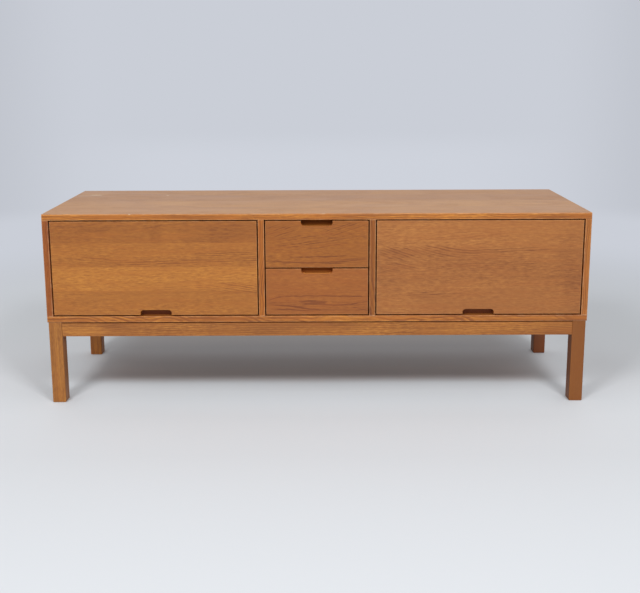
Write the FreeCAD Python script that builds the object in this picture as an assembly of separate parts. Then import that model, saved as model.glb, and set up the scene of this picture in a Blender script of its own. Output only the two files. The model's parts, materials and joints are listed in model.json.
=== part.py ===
import FreeCAD, Part
import os
from math import asin, cos, pi, radians, sin

# A low sideboard of veneered boards on a square-legged frame: a door bay at each side with a flap
# that lifts, and two drawers in the middle bay. Millimetres; +Z up, the front towards -Y.
# The origin is on the floor, at the middle of the width and of the depth.

V = FreeCAD.Vector
X, Y, Z = V(1, 0, 0), V(0, 1, 0), V(0, 0, 1)

# Overall size
overall_width = 1600.0
overall_depth = 480.0
overall_height = 575.0
leg_height = 250.0

# Carcass boards
panel_thickness = 18.0
drawer_bay_width = 308.0
lipping_thickness = 5.0
lipping_edge_bevel = 1.0
lipping_edge_radius = 1.8

# Back of the carcass
back_thickness = 6.0
back_sink = 2.0
back_overlap = 8.0
back_slip = 0.5

# Leg frame
leg_size = 40.0
leg_inset = 2.0
leg_edge_radius = 3.5
leg_foot_bevel = 1.5
apron_height = 44.0
apron_thickness = 20.0
apron_setback = 1.0
apron_edge_radius = 2.0
apron_top_radius = 4.0
tenon_thickness = 8.0
tenon_length = 18.0
tenon_lower_shoulder = 5.0
tenon_upper_shoulder = 8.0
mortise_slack = 1.0
block_reach = 56.0
block_height = 25.0

# Dowels in the board joints
dowel_radius = 4.0
dowel_in_board = 12.0
dowel_in_end = 22.0
dowel_margin = 45.0
dowel_count = 3
glue_gap = 0.05

# How near an edge lies to a plane to count as in it
plane_slack = 0.01

# Doors and drawer fronts
front_gap = 3.5
front_inset = 2.0
front_edge_bevel = 0.8
door_thickness = 18.0
drawer_front_thickness = 24.0
grip_width = 92.0
grip_depth = 15.0
grip_corner_radius = 9.0
recess_depth = 19.0
finger_groove_width = 8.0
finger_groove_depth = 4.0

# Door pivots
door_opening = 90.0
swing_clearance = 0.5
pin_radius = 3.0
pin_play = 0.05
pin_in_door = 18.0
pin_end_gap = 0.5
bush_radius = 5.0
bush_depth = 10.0
bush_floor = 1.5
bush_flange_radius = 7.5
bush_flange_thickness = 1.5

# Door stops
stop_width = 12.0
stop_height = 16.0
stop_edge_bevel = 1.0
stop_margin = 60.0
rest_gap = 0.3

# Door stays: a slotted arm on the door that slides on a stud of the carcass side
stay_reach = 100.0
stay_closed_angle = 30.0
stay_eye_standoff = 12.0
stay_play = 0.15
arm_half_width = 7.0
arm_thickness = 2.0
stud_radius = 3.0
stud_slot_play = 0.25
stud_proud = 1.0
collar_radius = 6.0
collar_length = 6.0
plate_half_width = 9.0
plate_half_length = 24.0
plate_thickness = 2.0
plate_corner_cut = 4.0
nut_radius = 8.0
nut_length = 6.0
nut_notch_depth = 1.0
nut_notch_count = 6
rivet_radius = 2.5
rivet_head_radius = 4.0
rivet_head_thickness = 1.5
bracket_thickness = 2.0
bracket_foot_width = 22.0
bracket_foot_height = 34.0

# Shelves
shelf_thickness = 16.0
shelf_end_gap = 1.0
shelf_setback = 45.0
shelf_rear_gap = 4.0
shelf_height_share = 0.86
shelf_hole_rows = (-1, 0, 1)
shelf_edge_bevel = 1.0
shelf_pin_radius = 2.5
shelf_pin_in_board = 9.0
shelf_pin_out = 9.0
shelf_pin_margin = 40.0
shelf_hole_pitch = 32.0

# Drawers
drawer_count = 2
drawer_length = 440.0
drawer_side_thickness = 12.0
drawer_side_rise = 4.0
drawer_side_drop = 12.0
drawer_side_edge_bevel = 1.2
tail_count = 3
tail_lap = 8.0
tail_share = 0.6
tail_slope_share = 0.14
drawer_bottom_thickness = 5.0
drawer_bottom_rise = 10.0
bottom_side_groove = 5.0
bottom_front_groove = 6.0
bottom_slip = 0.1
drawer_back_thickness = 12.0
drawer_back_housing = 4.0
drawer_back_margin = 10.0
drawer_back_drop = 6.0

# Drawer runners
runner_height = 12.0
runner_bite = 6.5
runner_side_play = 0.5
runner_slip = 0.3
runner_length = 380.0
runner_land = 25.0
runner_edge_bevel = 1.0
runner_counterbore = 3.5
runner_screw_shares = (0.1, 0.9)

# Screws
wood_screw_head_radius = 3.5
wood_screw_head_height = 2.0
wood_screw_radius = 1.75
wood_screw_length = 16.0
frame_screw_head_radius = 4.5
frame_screw_head_height = 2.7
frame_screw_radius = 2.25
frame_screw_length = 38.0
back_screw_head_radius = 3.0
back_screw_head_height = 1.8
back_screw_radius = 1.5
back_screw_length = 18.0
back_screw_margin = 60.0
back_screw_column_count = 4
back_screw_row_count = 1
screw_point_share = 0.2
screw_tip_share = 0.3
fastener_sides = 6

# One overrun for every cut that leaves a solid
overrun = 5.0

# Planes and places worked out from the sizes above
half_width = overall_width / 2
front_y = -overall_depth / 2
rear_y = overall_depth / 2
inner_low = leg_height + panel_thickness
inner_high = overall_height - panel_thickness
board_front_y = front_y + lipping_thickness
back_rear_y = rear_y - back_sink
back_inner_y = back_rear_y - back_thickness

side_inner_x = -half_width + panel_thickness
divider_inner_x = -drawer_bay_width / 2
divider_outer_x = divider_inner_x - panel_thickness

# How far a leg stands inside the aprons' inner faces
leg_notch = leg_size - apron_setback - apron_thickness

face_y = front_y + front_inset
door_left, door_right = side_inner_x + front_gap, divider_outer_x - front_gap
door_low, door_high = inner_low + front_gap, inner_high - front_gap
door_rear_y = face_y + door_thickness

# The pivot is as low as the door's top corner needs to pass under the top panel
half_door = door_thickness / 2
pivot_drop = (front_gap**2 + half_door**2 - swing_clearance**2) / (2 * (front_gap - swing_clearance))
pivot_y = face_y + half_door
pivot_z = inner_high - pivot_drop

# The stay's eye on the door and its stud on the side are equally far from the pivot, so the arm
# turns half as far as the door and stays in line with the stud
eye_angle = asin((half_door + stay_eye_standoff) / stay_reach)
stud_angle = eye_angle + radians(stay_closed_angle)
eye = V(0, pivot_y + stay_reach * sin(eye_angle), pivot_z - stay_reach * cos(eye_angle))
stud = V(0, pivot_y + stay_reach * sin(stud_angle), pivot_z - stay_reach * cos(stud_angle))
arm_line = (stud - eye).normalize()
open_run = 2 * stay_reach * sin(radians(stay_closed_angle + door_opening) / 2)
slot_end = eye + arm_line * open_run

# The stay's layers, inwards from the carcass side
plate_face_x = side_inner_x + plate_thickness
collar_face_x = plate_face_x + collar_length
arm_near_x = collar_face_x + stay_play
arm_far_x = arm_near_x + arm_thickness
nut_near_x = arm_far_x + stay_play
nut_far_x = nut_near_x + nut_length
ear_far_x = nut_near_x + bracket_thickness

# The drawers' widths, depths and heights
drawer_outer_x = divider_inner_x + front_gap
drawer_inner_x = drawer_outer_x + drawer_side_thickness
drawer_front_rear_y = face_y + drawer_front_thickness
drawer_rear_y = face_y + drawer_length
drawer_height = (inner_high - inner_low - front_gap * (drawer_count + 1)) / drawer_count
runner_front_y = drawer_front_rear_y + runner_land + rest_gap
runner_face_x = drawer_outer_x + runner_bite

# The shelf lies between the bay's floor and the stay's plate
shelf_top_limit = stud.z - plate_half_length
shelf_low = inner_low + (shelf_top_limit - shelf_thickness - inner_low) * shelf_height_share
shelf_front_y = door_rear_y + shelf_setback
shelf_rear_y = back_inner_y - shelf_rear_gap

wood_screw = (wood_screw_head_radius, wood_screw_head_height, wood_screw_radius, wood_screw_length)
frame_screw = (frame_screw_head_radius, frame_screw_head_height, frame_screw_radius, frame_screw_length)
back_screw = (back_screw_head_radius, back_screw_head_height, back_screw_radius, back_screw_length)


def block(xs, ys, zs):
    """A box between two planes in each direction, named in either order."""
    size = [abs(high - low) for low, high in (xs, ys, zs)]
    return Part.makeBox(*size, V(min(xs), min(ys), min(zs)))


def rod(start, end, radius):
    """A round bar between two points."""
    return Part.makeCylinder(radius, (end - start).Length, start, end - start)


def flat(points):
    """The flat face inside an outline of points."""
    return Part.Face(Part.makePolygon(points + points[:1]))


def prism(points, run):
    """A flat outline of points, pushed along a vector."""
    return flat(points).extrude(run)


def faceted_ring(centre, along, radius):
    """The points of a flat ring round an axis along X, Y or Z, its sides at a radius from the axis."""
    aside = X if abs(along.z) > abs(along.x) + abs(along.y) else Z
    ahead = along.cross(aside)
    corner = radius / cos(pi / fastener_sides)
    angles = [pi * (2 * i + 1) / fastener_sides for i in range(fastener_sides)]
    return [centre + (aside * cos(angle) + ahead * sin(angle)) * corner for angle in angles]


def faceted_rod(start, end, radius):
    """A many-sided bar between two points: a fastener inside the wood, or the hole for one."""
    along = (end - start).normalize()
    return prism(faceted_ring(start, along, radius), end - start)


def faceted_cone(start, end, radius, end_radius):
    """A many-sided cone between two points: a screw's head or its point."""
    along = (end - start).normalize()
    near, far = faceted_ring(start, along, radius), faceted_ring(end, along, end_radius)
    faces = [flat(near), flat(far)]
    for i in range(fastener_sides):
        faces.append(flat([near[i - 1], near[i], far[i], far[i - 1]]))
    return Part.makeSolid(Part.makeShell(faces))


def slab(start, end, radius, xs):
    """A plate with two round ends, whose centres are two points of the YZ plane."""
    along = (end - start).normalize()
    across = X.cross(along)
    start, end = start + X * xs[0], end + X * xs[0]
    outline = [
        Part.LineSegment(start + across * radius, end + across * radius),
        Part.Arc(end + across * radius, end + along * radius, end - across * radius),
        Part.LineSegment(end - across * radius, start - across * radius),
        Part.Arc(start - across * radius, start - along * radius, start + across * radius),
    ]
    return Part.Face(Part.Wire([curve.toShape() for curve in outline])).extrude(X * (xs[1] - xs[0]))


def mirrored(shape):
    """The same shape on the other side of the middle plane."""
    return shape.mirror(V(0, 0, 0), X)


def both(shapes):
    """A list of left-hand shapes with their right-hand twins."""
    return shapes + [mirrored(shape) for shape in shapes]


def fused(first, *others):
    """One solid from pieces that touch or overlap."""
    return first.multiFuse(list(others)).removeSplitter()


def drilled(board, tools):
    """The board, cut by each tool that reaches it."""
    met = [tool for tool in tools if tool.BoundBox.intersect(board.BoundBox)]
    return board.cut(met) if met else board


def level(edge, axis, place):
    """Whether an edge lies wholly in the plane across an axis at a place."""
    box = edge.BoundBox
    low, high = {"x": (box.XMin, box.XMax), "y": (box.YMin, box.YMax), "z": (box.ZMin, box.ZMax)}[axis]
    return abs(low - place) < plane_slack and abs(high - place) < plane_slack


def edges_in(shape, *planes):
    """The shape's edges that lie in every plane given as (axis, place)."""
    return [edge for edge in shape.Edges if all(level(edge, *plane) for plane in planes)]


def eased(shape, width, *planes):
    """The shape with a narrow bevel planed along its edges in the given planes."""
    return shape.makeChamfer(width, edges_in(shape, *planes))


def rounded(shape, radius, *planes):
    """The shape with its edges in the given planes rounded."""
    return shape.makeFillet(radius, edges_in(shape, *planes))


def spread(low, high, count):
    """Evenly spaced places from one to another, both ends in."""
    return [low + (high - low) * i / (count - 1) for i in range(count)]


def screw(kind, head, along):
    """A countersunk screw whose flat head is centred on a point."""
    head_radius, head_height, radius, length = kind
    neck = head + along * head_height
    shoulder = head + along * length * (1 - screw_point_share)
    return fused(
        faceted_cone(head, neck, head_radius, radius),
        faceted_rod(neck, shoulder, radius),
        faceted_cone(shoulder, head + along * length, radius, radius * screw_tip_share),
    )


def screw_hole(kind, head, along):
    """The countersunk hole for such a screw, with a little play all round."""
    head_radius, head_height, radius, length = kind
    neck = head + along * head_height
    return fused(
        faceted_cone(head, neck, head_radius + glue_gap, radius + glue_gap),
        faceted_rod(neck, head + along * (length + glue_gap), radius + glue_gap),
    )


# Places of the fasteners, and the holes that they need

def dowel_places():
    """The foot and head of each left-hand dowel, across the joints of the uprights."""
    places = []
    for upright_x in (side_inner_x - panel_thickness / 2, divider_inner_x - panel_thickness / 2):
        for y in spread(front_y + dowel_margin, rear_y - dowel_margin, dowel_count):
            for joint_z, down, up in (
                (inner_low, dowel_in_board, dowel_in_end),
                (inner_high, dowel_in_end, dowel_in_board),
            ):
                places.append((V(upright_x, y, joint_z - down), V(upright_x, y, joint_z + up)))
    return places


def dowels():
    """Every glued dowel of the boards' joints."""
    return both([faceted_rod(start, end, dowel_radius) for start, end in dowel_places()])


def dowel_holes():
    """The holes for the dowels, with room for the glue."""
    reach, radius = Z * glue_gap, dowel_radius + glue_gap
    return both([faceted_rod(start - reach, end + reach, radius) for start, end in dowel_places()])


def back_screw_places():
    """The back's screws: along its upper and lower edges, and up the four uprights."""
    edge = back_overlap / 2
    low, high = inner_low - edge, inner_high + edge
    margin = back_screw_margin
    places = []
    for x in spread(-half_width + margin, half_width - margin, back_screw_column_count):
        places += [V(x, back_rear_y, low), V(x, back_rear_y, high)]
    reach = (inner_high - inner_low) / (back_screw_row_count + 1)
    for x in (side_inner_x - edge, divider_inner_x - panel_thickness / 2):
        for i in range(back_screw_row_count):
            z = inner_low + reach * (i + 1)
            places += [V(x, back_rear_y, z), V(-x, back_rear_y, z)]
    return places


def frame_corner():
    """The inner corner of the left aprons, as distances from the middle planes."""
    inset = leg_inset + apron_setback + apron_thickness
    return half_width - inset, rear_y - inset


def frame_screw_places():
    """One screw up through each left corner block, on the line out of the corner."""
    corner_x, corner_y = frame_corner()
    inward = (leg_notch + (leg_notch + block_reach) / 2) / 2
    return [V(inward - corner_x, end * (corner_y - inward), leg_height - block_height) for end in (-1, 1)]


def runner_mid(i):
    """The height of the middle of the runners of drawer i, counted from below."""
    side_low, side_high = drawer_side_span(i)
    return (side_low + side_high) / 2


def runner_screw_places():
    """Two screws through each left runner into the divider, heads sunk under its face."""
    x = runner_face_x - runner_counterbore
    steps = [runner_length * share for share in runner_screw_shares]
    return [V(x, runner_front_y + step, runner_mid(i)) for i in range(drawer_count) for step in steps]


def plate_screw_places():
    """The two screws of the left stay plate."""
    step = plate_half_length - plate_half_width
    return [V(plate_face_x, stud.y, stud.z + step * way) for way in (-1, 1)]


def bracket_screw_places():
    """The two screws of the left stay bracket, in the middle of its foot."""
    step = bracket_foot_height / 4
    x = ear_far_x + (bracket_foot_width - bracket_thickness) / 2
    return [V(x, door_rear_y + bracket_thickness, eye.z + step * way) for way in (-1, 1)]


def shelf_pin_places(hole_rows=(0,)):
    """Where the left shelf's pins enter the boards, with the way they point out."""
    places = []
    for row in hole_rows:
        z = shelf_low - shelf_pin_radius - glue_gap + shelf_hole_pitch * row
        for y in (shelf_front_y + shelf_pin_margin, shelf_rear_y - shelf_pin_margin):
            places += [(V(side_inner_x, y, z), X), (V(divider_outer_x, y, z), -X)]
    return places


def screw_holes():
    """Every screw hole of the carcass, one for each screw."""
    holes = [screw_hole(back_screw, place, -Y) for place in back_screw_places()]
    holes += both([screw_hole(frame_screw, place, Z) for place in frame_screw_places()])
    holes += both([screw_hole(wood_screw, place, -X) for place in runner_screw_places()])
    holes += both([screw_hole(wood_screw, place, -X) for place in plate_screw_places()])
    return holes


def fitting_holes():
    """The holes in the uprights for the shelf pins and the pivot bushes."""
    radius = shelf_pin_radius + glue_gap
    depth = shelf_pin_in_board + glue_gap
    places = shelf_pin_places(shelf_hole_rows)
    holes = [faceted_rod(place - out * depth, place, radius) for place, out in places]
    for face_x, out in ((side_inner_x, X), (divider_outer_x, -X)):
        mouth = V(face_x, pivot_y, pivot_z)
        holes.append(faceted_rod(mouth - out * (bush_depth + glue_gap), mouth, bush_radius + glue_gap))
    return both(holes)


# Carcass

def rebate(xs, zs):
    """The room that the back panel takes from a board, out past its rear edge."""
    return block(xs, (back_inner_y, rear_y + overrun), zs)


def flat_panel(zs, holes):
    """The top or bottom board, rebated for the back along its inner rear edge."""
    board = block((-half_width, half_width), (board_front_y, rear_y), zs)
    reach = half_width - panel_thickness + back_overlap
    room = rebate((-reach, reach), (inner_low - back_overlap, inner_high + back_overlap))
    return drilled(board.cut(room), holes)


def side_panel(holes):
    """The left side board, between the top and the bottom."""
    board = block((-half_width, side_inner_x), (board_front_y, rear_y), (inner_low, inner_high))
    room_xs = (side_inner_x - back_overlap, side_inner_x + overrun)
    room = rebate(room_xs, (inner_low - overrun, inner_high + overrun))
    return drilled(board.cut(room), holes)


def divider(holes):
    """The left inner upright, up to the back."""
    board = block((divider_outer_x, divider_inner_x), (board_front_y, back_inner_y), (inner_low, inner_high))
    return drilled(board, holes)


def long_lipping(inner_z, outer_z):
    """The strip on the front edge of the top or bottom board, its outer long edge rounded."""
    strip = block((-half_width, half_width), (front_y, board_front_y), (inner_z, outer_z))
    for plane in (("z", inner_z), ("x", -half_width), ("x", half_width)):
        strip = eased(strip, lipping_edge_bevel, ("y", front_y), plane)
    return rounded(strip, lipping_edge_radius, ("y", front_y), ("z", outer_z))


def upright_lipping(xs, holes):
    """The strip on the front edge of an upright, between the long strips."""
    strip = block(xs, (front_y, board_front_y), (inner_low, inner_high))
    for place_x in xs:
        strip = eased(strip, lipping_edge_bevel, ("y", front_y), ("x", place_x))
    return drilled(strip, holes)


def back_panel(holes):
    """The plywood back, with a little play in its rebate."""
    reach_x = half_width - panel_thickness + back_overlap - back_slip
    reach_z = back_overlap - back_slip
    zs = (inner_low - reach_z, inner_high + reach_z)
    return drilled(block((-reach_x, reach_x), (back_inner_y, back_rear_y), zs), holes)


# Leg frame

def apron_heights():
    """The aprons' lower and upper edges, and those of their tenons."""
    low = leg_height - apron_height
    return (low, leg_height), (low + tenon_lower_shoulder, leg_height - tenon_upper_shoulder)


def long_tenons(end, slack=0.0):
    """The two tenons of the front (end -1) or rear (end 1) apron; with slack, their mortises."""
    middle = end * (rear_y - leg_inset - apron_setback - apron_thickness / 2)
    ys = (middle - tenon_thickness / 2, middle + tenon_thickness / 2)
    shoulder = half_width - leg_inset - leg_size
    tenon = block((-shoulder - tenon_length - slack, -shoulder), ys, apron_heights()[1])
    return both([tenon])


def side_tenons(slack=0.0):
    """The two tenons of the left apron; with slack, their mortises."""
    middle = -half_width + leg_inset + apron_setback + apron_thickness / 2
    xs = (middle - tenon_thickness / 2, middle + tenon_thickness / 2)
    shoulder = rear_y - leg_inset - leg_size
    tip = shoulder + tenon_length + slack
    return [block(xs, (end * shoulder, end * tip), apron_heights()[1]) for end in (-1, 1)]


def leg(end):
    """The left leg at the front (end -1) or rear (end 1), its four long edges rounded."""
    outer_x, outer_y = -half_width + leg_inset, end * (rear_y - leg_inset)
    post = block((outer_x, outer_x + leg_size), (outer_y, outer_y - end * leg_size), (0, leg_height))
    upright = [edge for edge in post.Edges if edge.BoundBox.ZLength > leg_size]
    post = post.makeFillet(leg_edge_radius, upright)
    post = eased(post, leg_foot_bevel, ("z", 0))
    return post.cut(long_tenons(end, mortise_slack) + side_tenons(mortise_slack))


def long_apron(end):
    """The front (end -1) or rear (end 1) apron, with a tenon at each end."""
    reach = half_width - leg_inset - leg_size
    outer = end * (rear_y - leg_inset - apron_setback)
    inner = outer - end * apron_thickness
    low, high = apron_heights()[0]
    rail = block((-reach, reach), (outer, inner), (low, high))
    for place_y in (outer, inner):
        rail = rounded(rail, apron_edge_radius, ("y", place_y), ("z", low))
    rail = rounded(rail, apron_top_radius, ("y", outer), ("z", high))
    return fused(rail, *long_tenons(end))


def side_apron():
    """The left apron, with a tenon at each end."""
    reach = rear_y - leg_inset - leg_size
    outer = -half_width + leg_inset + apron_setback
    inner = outer + apron_thickness
    low, high = apron_heights()[0]
    rail = block((outer, inner), (-reach, reach), (low, high))
    for place_x in (outer, inner):
        rail = rounded(rail, apron_edge_radius, ("x", place_x), ("z", low))
    rail = rounded(rail, apron_top_radius, ("x", outer), ("z", high))
    return fused(rail, *side_tenons())


def corner_block(end, holes):
    """The left block at the front (end -1) or rear (end 1), notched round the leg."""
    corner_x, corner_y = frame_corner()
    reach = leg_notch + block_reach
    corners = ((leg_notch, 0), (reach, 0), (0, reach), (0, leg_notch), (leg_notch, leg_notch))
    low = leg_height - block_height
    points = [V(-corner_x + inward_x, end * (corner_y - inward_y), low) for inward_x, inward_y in corners]
    return drilled(prism(points, Z * block_height), holes)


# Doors

def grip(middle_x, edge_z, way, depth):
    """The cutter of a finger grip in an edge, to a depth behind the face; way is 1 for up, -1 for down."""
    xs = (middle_x - grip_width / 2, middle_x + grip_width / 2)
    deep_z = edge_z + way * grip_depth
    cutter = block(xs, (face_y - overrun, face_y + depth), (edge_z - way * overrun, deep_z))
    corners = [edge for edge in cutter.Edges if level(edge, "z", deep_z) and edge.BoundBox.YLength > depth]
    return cutter.makeFillet(grip_corner_radius, corners)


def door_panel():
    """The left flap, with its finger cut-out and the bores for its pins and screws."""
    panel = block((door_left, door_right), (face_y, door_rear_y), (door_low, door_high))
    panel = panel.cut(grip((door_left + door_right) / 2, door_low, 1, door_thickness + overrun))
    panel = eased(panel, front_edge_bevel, ("y", face_y))
    bores = []
    for end_x, way in ((door_left, 1), (door_right, -1)):
        mouth = V(end_x, pivot_y, pivot_z)
        bores.append(faceted_rod(mouth, mouth + X * way * (pin_in_door + glue_gap), pin_radius + glue_gap))
    return panel.cut(bores + [screw_hole(wood_screw, place, -Y) for place in bracket_screw_places()])


def pivot_pins():
    """The left flap's two pins, from inside its ends to near the bottom of the bushes."""
    reach = bush_depth - bush_floor - pin_end_gap
    pins = []
    for end_x, way in ((door_left, 1), (door_right, -1)):
        outer = end_x - way * (front_gap + reach)
        inner = end_x + way * pin_in_door
        pins.append(rod(V(outer, pivot_y, pivot_z), V(inner, pivot_y, pivot_z), pin_radius))
    return pins


def pivot_bushes():
    """The left flap's two flanged bushes, each with a blind bore."""
    bushes = []
    for face_x, out in ((side_inner_x, X), (divider_outer_x, -X)):
        mouth = V(face_x, pivot_y, pivot_z)
        body = faceted_rod(mouth - out * bush_depth, mouth, bush_radius)
        flange = faceted_rod(mouth, mouth + out * bush_flange_thickness, bush_flange_radius)
        floor = mouth - out * (bush_depth - bush_floor)
        bore = rod(floor, mouth + out * (bush_flange_thickness + overrun), pin_radius + pin_play)
        bushes.append(fused(body, flange).cut(bore))
    return bushes


def door_stop():
    """The batten on the bottom board just behind the left flap, which also backs its cut-out."""
    ys = (door_rear_y + rest_gap, door_rear_y + rest_gap + stop_width)
    high = inner_low + stop_height
    batten = block((door_left + stop_margin, door_right - stop_margin), ys, (inner_low, high))
    return eased(batten, stop_edge_bevel, ("y", ys[1]), ("z", high))


# Door stays

def stay_plate():
    """The left plate on the carcass side, with the collar and stud that the arm slides on."""
    wide, long, cut = plate_half_width, plate_half_length, plate_corner_cut
    corners = ((wide, long - cut), (wide - cut, long), (cut - wide, long), (-wide, long - cut))
    outline = [V(side_inner_x, stud.y + way * y, stud.z + way * z) for way in (1, -1) for y, z in corners]
    plate = prism(outline, X * plate_thickness)
    collar = faceted_rod(stud + X * plate_face_x, stud + X * collar_face_x, collar_radius)
    post = rod(stud + X * collar_face_x, stud + X * (nut_far_x + stud_proud), stud_radius)
    holes = [screw_hole(wood_screw, place, -X) for place in plate_screw_places()]
    return fused(plate, collar, post).cut(holes)


def friction_nut():
    """The left nut, its rim notched for the fingers."""
    start = stud + X * nut_near_x
    points = []
    for i in range(4 * nut_notch_count):
        angle = pi * i / nut_notch_count / 2
        reach = nut_radius if i % 4 < 2 else nut_radius - nut_notch_depth
        points.append(start + V(0, cos(angle), sin(angle)) * reach)
    bore = rod(start - X * overrun, start + X * (nut_length + overrun), stud_radius + glue_gap)
    return prism(points, X * nut_length).cut(bore)


def stay_arm():
    """The left arm: an eye for the rivet, and a slot as long as the stud's run."""
    closed_run = (stud - eye).Length
    slot_start = eye + arm_line * closed_run
    xs = (arm_near_x, arm_far_x)
    past = (arm_near_x - overrun, arm_far_x + overrun)
    slot = slab(slot_start, slot_end, stud_radius + stud_slot_play, past)
    hole = rod(eye + X * past[0], eye + X * past[1], rivet_radius + pin_play)
    return slab(eye, slot_end, arm_half_width, xs).cut([slot, hole])


def stay_rivet():
    """The left rivet, through the arm's eye and the bracket's ear."""
    near_head_x = arm_near_x - stay_play
    near, far, depth = eye + X * near_head_x, eye + X * ear_far_x, X * rivet_head_thickness
    near_head = faceted_rod(near - depth, near, rivet_head_radius)
    far_head = faceted_rod(far, far + depth, rivet_head_radius)
    return fused(rod(near, far, rivet_radius), near_head, far_head)


def stay_bracket():
    """The left angle bracket: a foot on the flap's inner face and an ear for the rivet."""
    ear_xs = (nut_near_x, ear_far_x)
    foot_ys = (door_rear_y, door_rear_y + bracket_thickness)
    reach = bracket_foot_height / 2
    foot = block((nut_near_x, nut_near_x + bracket_foot_width), foot_ys, (eye.z - reach, eye.z + reach))
    web = block(ear_xs, (door_rear_y, eye.y), (eye.z - arm_half_width, eye.z + arm_half_width))
    round_end = rod(eye + X * ear_xs[0], eye + X * ear_xs[1], arm_half_width)
    hole = rod(eye + X * (ear_xs[0] - overrun), eye + X * (ear_xs[1] + overrun), rivet_radius + glue_gap)
    holes = [screw_hole(wood_screw, place, -Y) for place in bracket_screw_places()]
    return fused(foot, web, round_end).cut([hole] + holes)


# Shelves

def shelf():
    """The left loose shelf."""
    xs = (side_inner_x + shelf_end_gap, divider_outer_x - shelf_end_gap)
    board = block(xs, (shelf_front_y, shelf_rear_y), (shelf_low, shelf_low + shelf_thickness))
    return eased(board, shelf_edge_bevel, ("y", shelf_front_y))


def shelf_pins():
    """The four pins of the left shelf."""
    places = shelf_pin_places()
    reach = [(place - out * shelf_pin_in_board, place + out * shelf_pin_out) for place, out in places]
    return [faceted_rod(start, end, shelf_pin_radius) for start, end in reach]


# Drawers

def drawer_span(i):
    """The lower and upper edges of the front of drawer i, counted from below."""
    low = inner_low + front_gap + (drawer_height + front_gap) * i
    return low, low + drawer_height


def drawer_side_span(i):
    """The lower and upper edges of the sides of drawer i."""
    low, high = drawer_span(i)
    return low + drawer_side_rise, high - drawer_side_drop


def drawer_bottom_span(i):
    """The faces of the bottom of drawer i."""
    low = drawer_side_span(i)[0] + drawer_bottom_rise
    return low, low + drawer_bottom_thickness


def tails(i):
    """The left side's dovetails in drawer i, wider towards the lap of the front."""
    side_low, side_high = drawer_side_span(i)
    pitch = (side_high - side_low) / tail_count
    shoulder_y, tip_y = drawer_front_rear_y, face_y + tail_lap
    narrow = pitch * tail_share / 2
    wide = narrow + (shoulder_y - tip_y) * tail_slope_share
    shapes = []
    for k in range(tail_count):
        middle = side_low + pitch * k + pitch / 2
        outline = ((shoulder_y, -narrow), (tip_y, -wide), (tip_y, wide), (shoulder_y, narrow))
        points = [V(drawer_outer_x, y, middle + step) for y, step in outline]
        shapes.append(prism(points, X * drawer_side_thickness))
    return shapes


def finger_groove(edge_z):
    """The groove along the back of a recess's ledge, where the fingertips hook in."""
    reach = grip_width / 2 - grip_corner_radius
    deep_z = edge_z - grip_depth
    ys = (face_y + recess_depth - finger_groove_width, face_y + recess_depth)
    return block((-reach, reach), ys, (deep_z - finger_groove_depth, deep_z + overrun))


def drawer_front(i):
    """The front of drawer i: finger recess, blind sockets for the tails, groove for the bottom."""
    low, high = drawer_span(i)
    panel = block((drawer_outer_x, -drawer_outer_x), (face_y, drawer_front_rear_y), (low, high))
    panel = panel.cut([grip(0, high, -1, recess_depth), finger_groove(high)])
    panel = eased(panel, front_edge_bevel, ("y", face_y))
    bottom_low, bottom_high = drawer_bottom_span(i)
    groove_ys = (drawer_front_rear_y - bottom_front_groove, drawer_front_rear_y + overrun)
    groove_zs = (bottom_low - bottom_slip, bottom_high + bottom_slip)
    groove = block((drawer_inner_x, -drawer_inner_x), groove_ys, groove_zs)
    return panel.cut(both(tails(i)) + [groove])


def drawer_side(i):
    """The left side of drawer i: tails, runner groove, bottom groove and the back's housing."""
    low, high = drawer_side_span(i)
    board = block((drawer_outer_x, drawer_inner_x), (drawer_front_rear_y, drawer_rear_y), (low, high))
    for place_x in (drawer_outer_x, drawer_inner_x):
        board = eased(board, drawer_side_edge_bevel, ("x", place_x), ("z", high))
    board = fused(board, *tails(i))
    bottom_low, bottom_high = drawer_bottom_span(i)
    half_groove = runner_height / 2 + runner_slip
    runner_groove = block(
        (drawer_outer_x - overrun, drawer_outer_x + runner_bite + runner_side_play),
        (drawer_front_rear_y + runner_land, drawer_rear_y + overrun),
        (runner_mid(i) - half_groove, runner_mid(i) + half_groove),
    )
    bottom_groove = block(
        (drawer_inner_x - bottom_side_groove, drawer_inner_x + overrun),
        (drawer_front_rear_y - bottom_front_groove, drawer_rear_y + overrun),
        (bottom_low - bottom_slip, bottom_high + bottom_slip),
    )
    back_rear = drawer_rear_y - drawer_back_margin
    housing = block(
        (drawer_inner_x - drawer_back_housing, drawer_inner_x + overrun),
        (back_rear - drawer_back_thickness, back_rear),
        (bottom_high, high + overrun),
    )
    return board.cut([runner_groove, bottom_groove, housing])


def drawer_back(i):
    """The back of drawer i, housed in the sides and standing on the bottom."""
    rear = drawer_rear_y - drawer_back_margin
    reach = drawer_inner_x - drawer_back_housing
    low, high = drawer_bottom_span(i)[1], drawer_side_span(i)[1] - drawer_back_drop
    board = block((reach, -reach), (rear - drawer_back_thickness, rear), (low, high))
    for place_y in (rear - drawer_back_thickness, rear):
        board = eased(board, drawer_side_edge_bevel, ("y", place_y), ("z", high))
    return board


def drawer_bottom(i):
    """The thin bottom of drawer i, slid in from behind under the back."""
    reach = drawer_inner_x - bottom_side_groove + bottom_slip
    front = drawer_front_rear_y - bottom_front_groove + bottom_slip
    return block((reach, -reach), (front, drawer_rear_y - drawer_back_margin), drawer_bottom_span(i))


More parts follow.
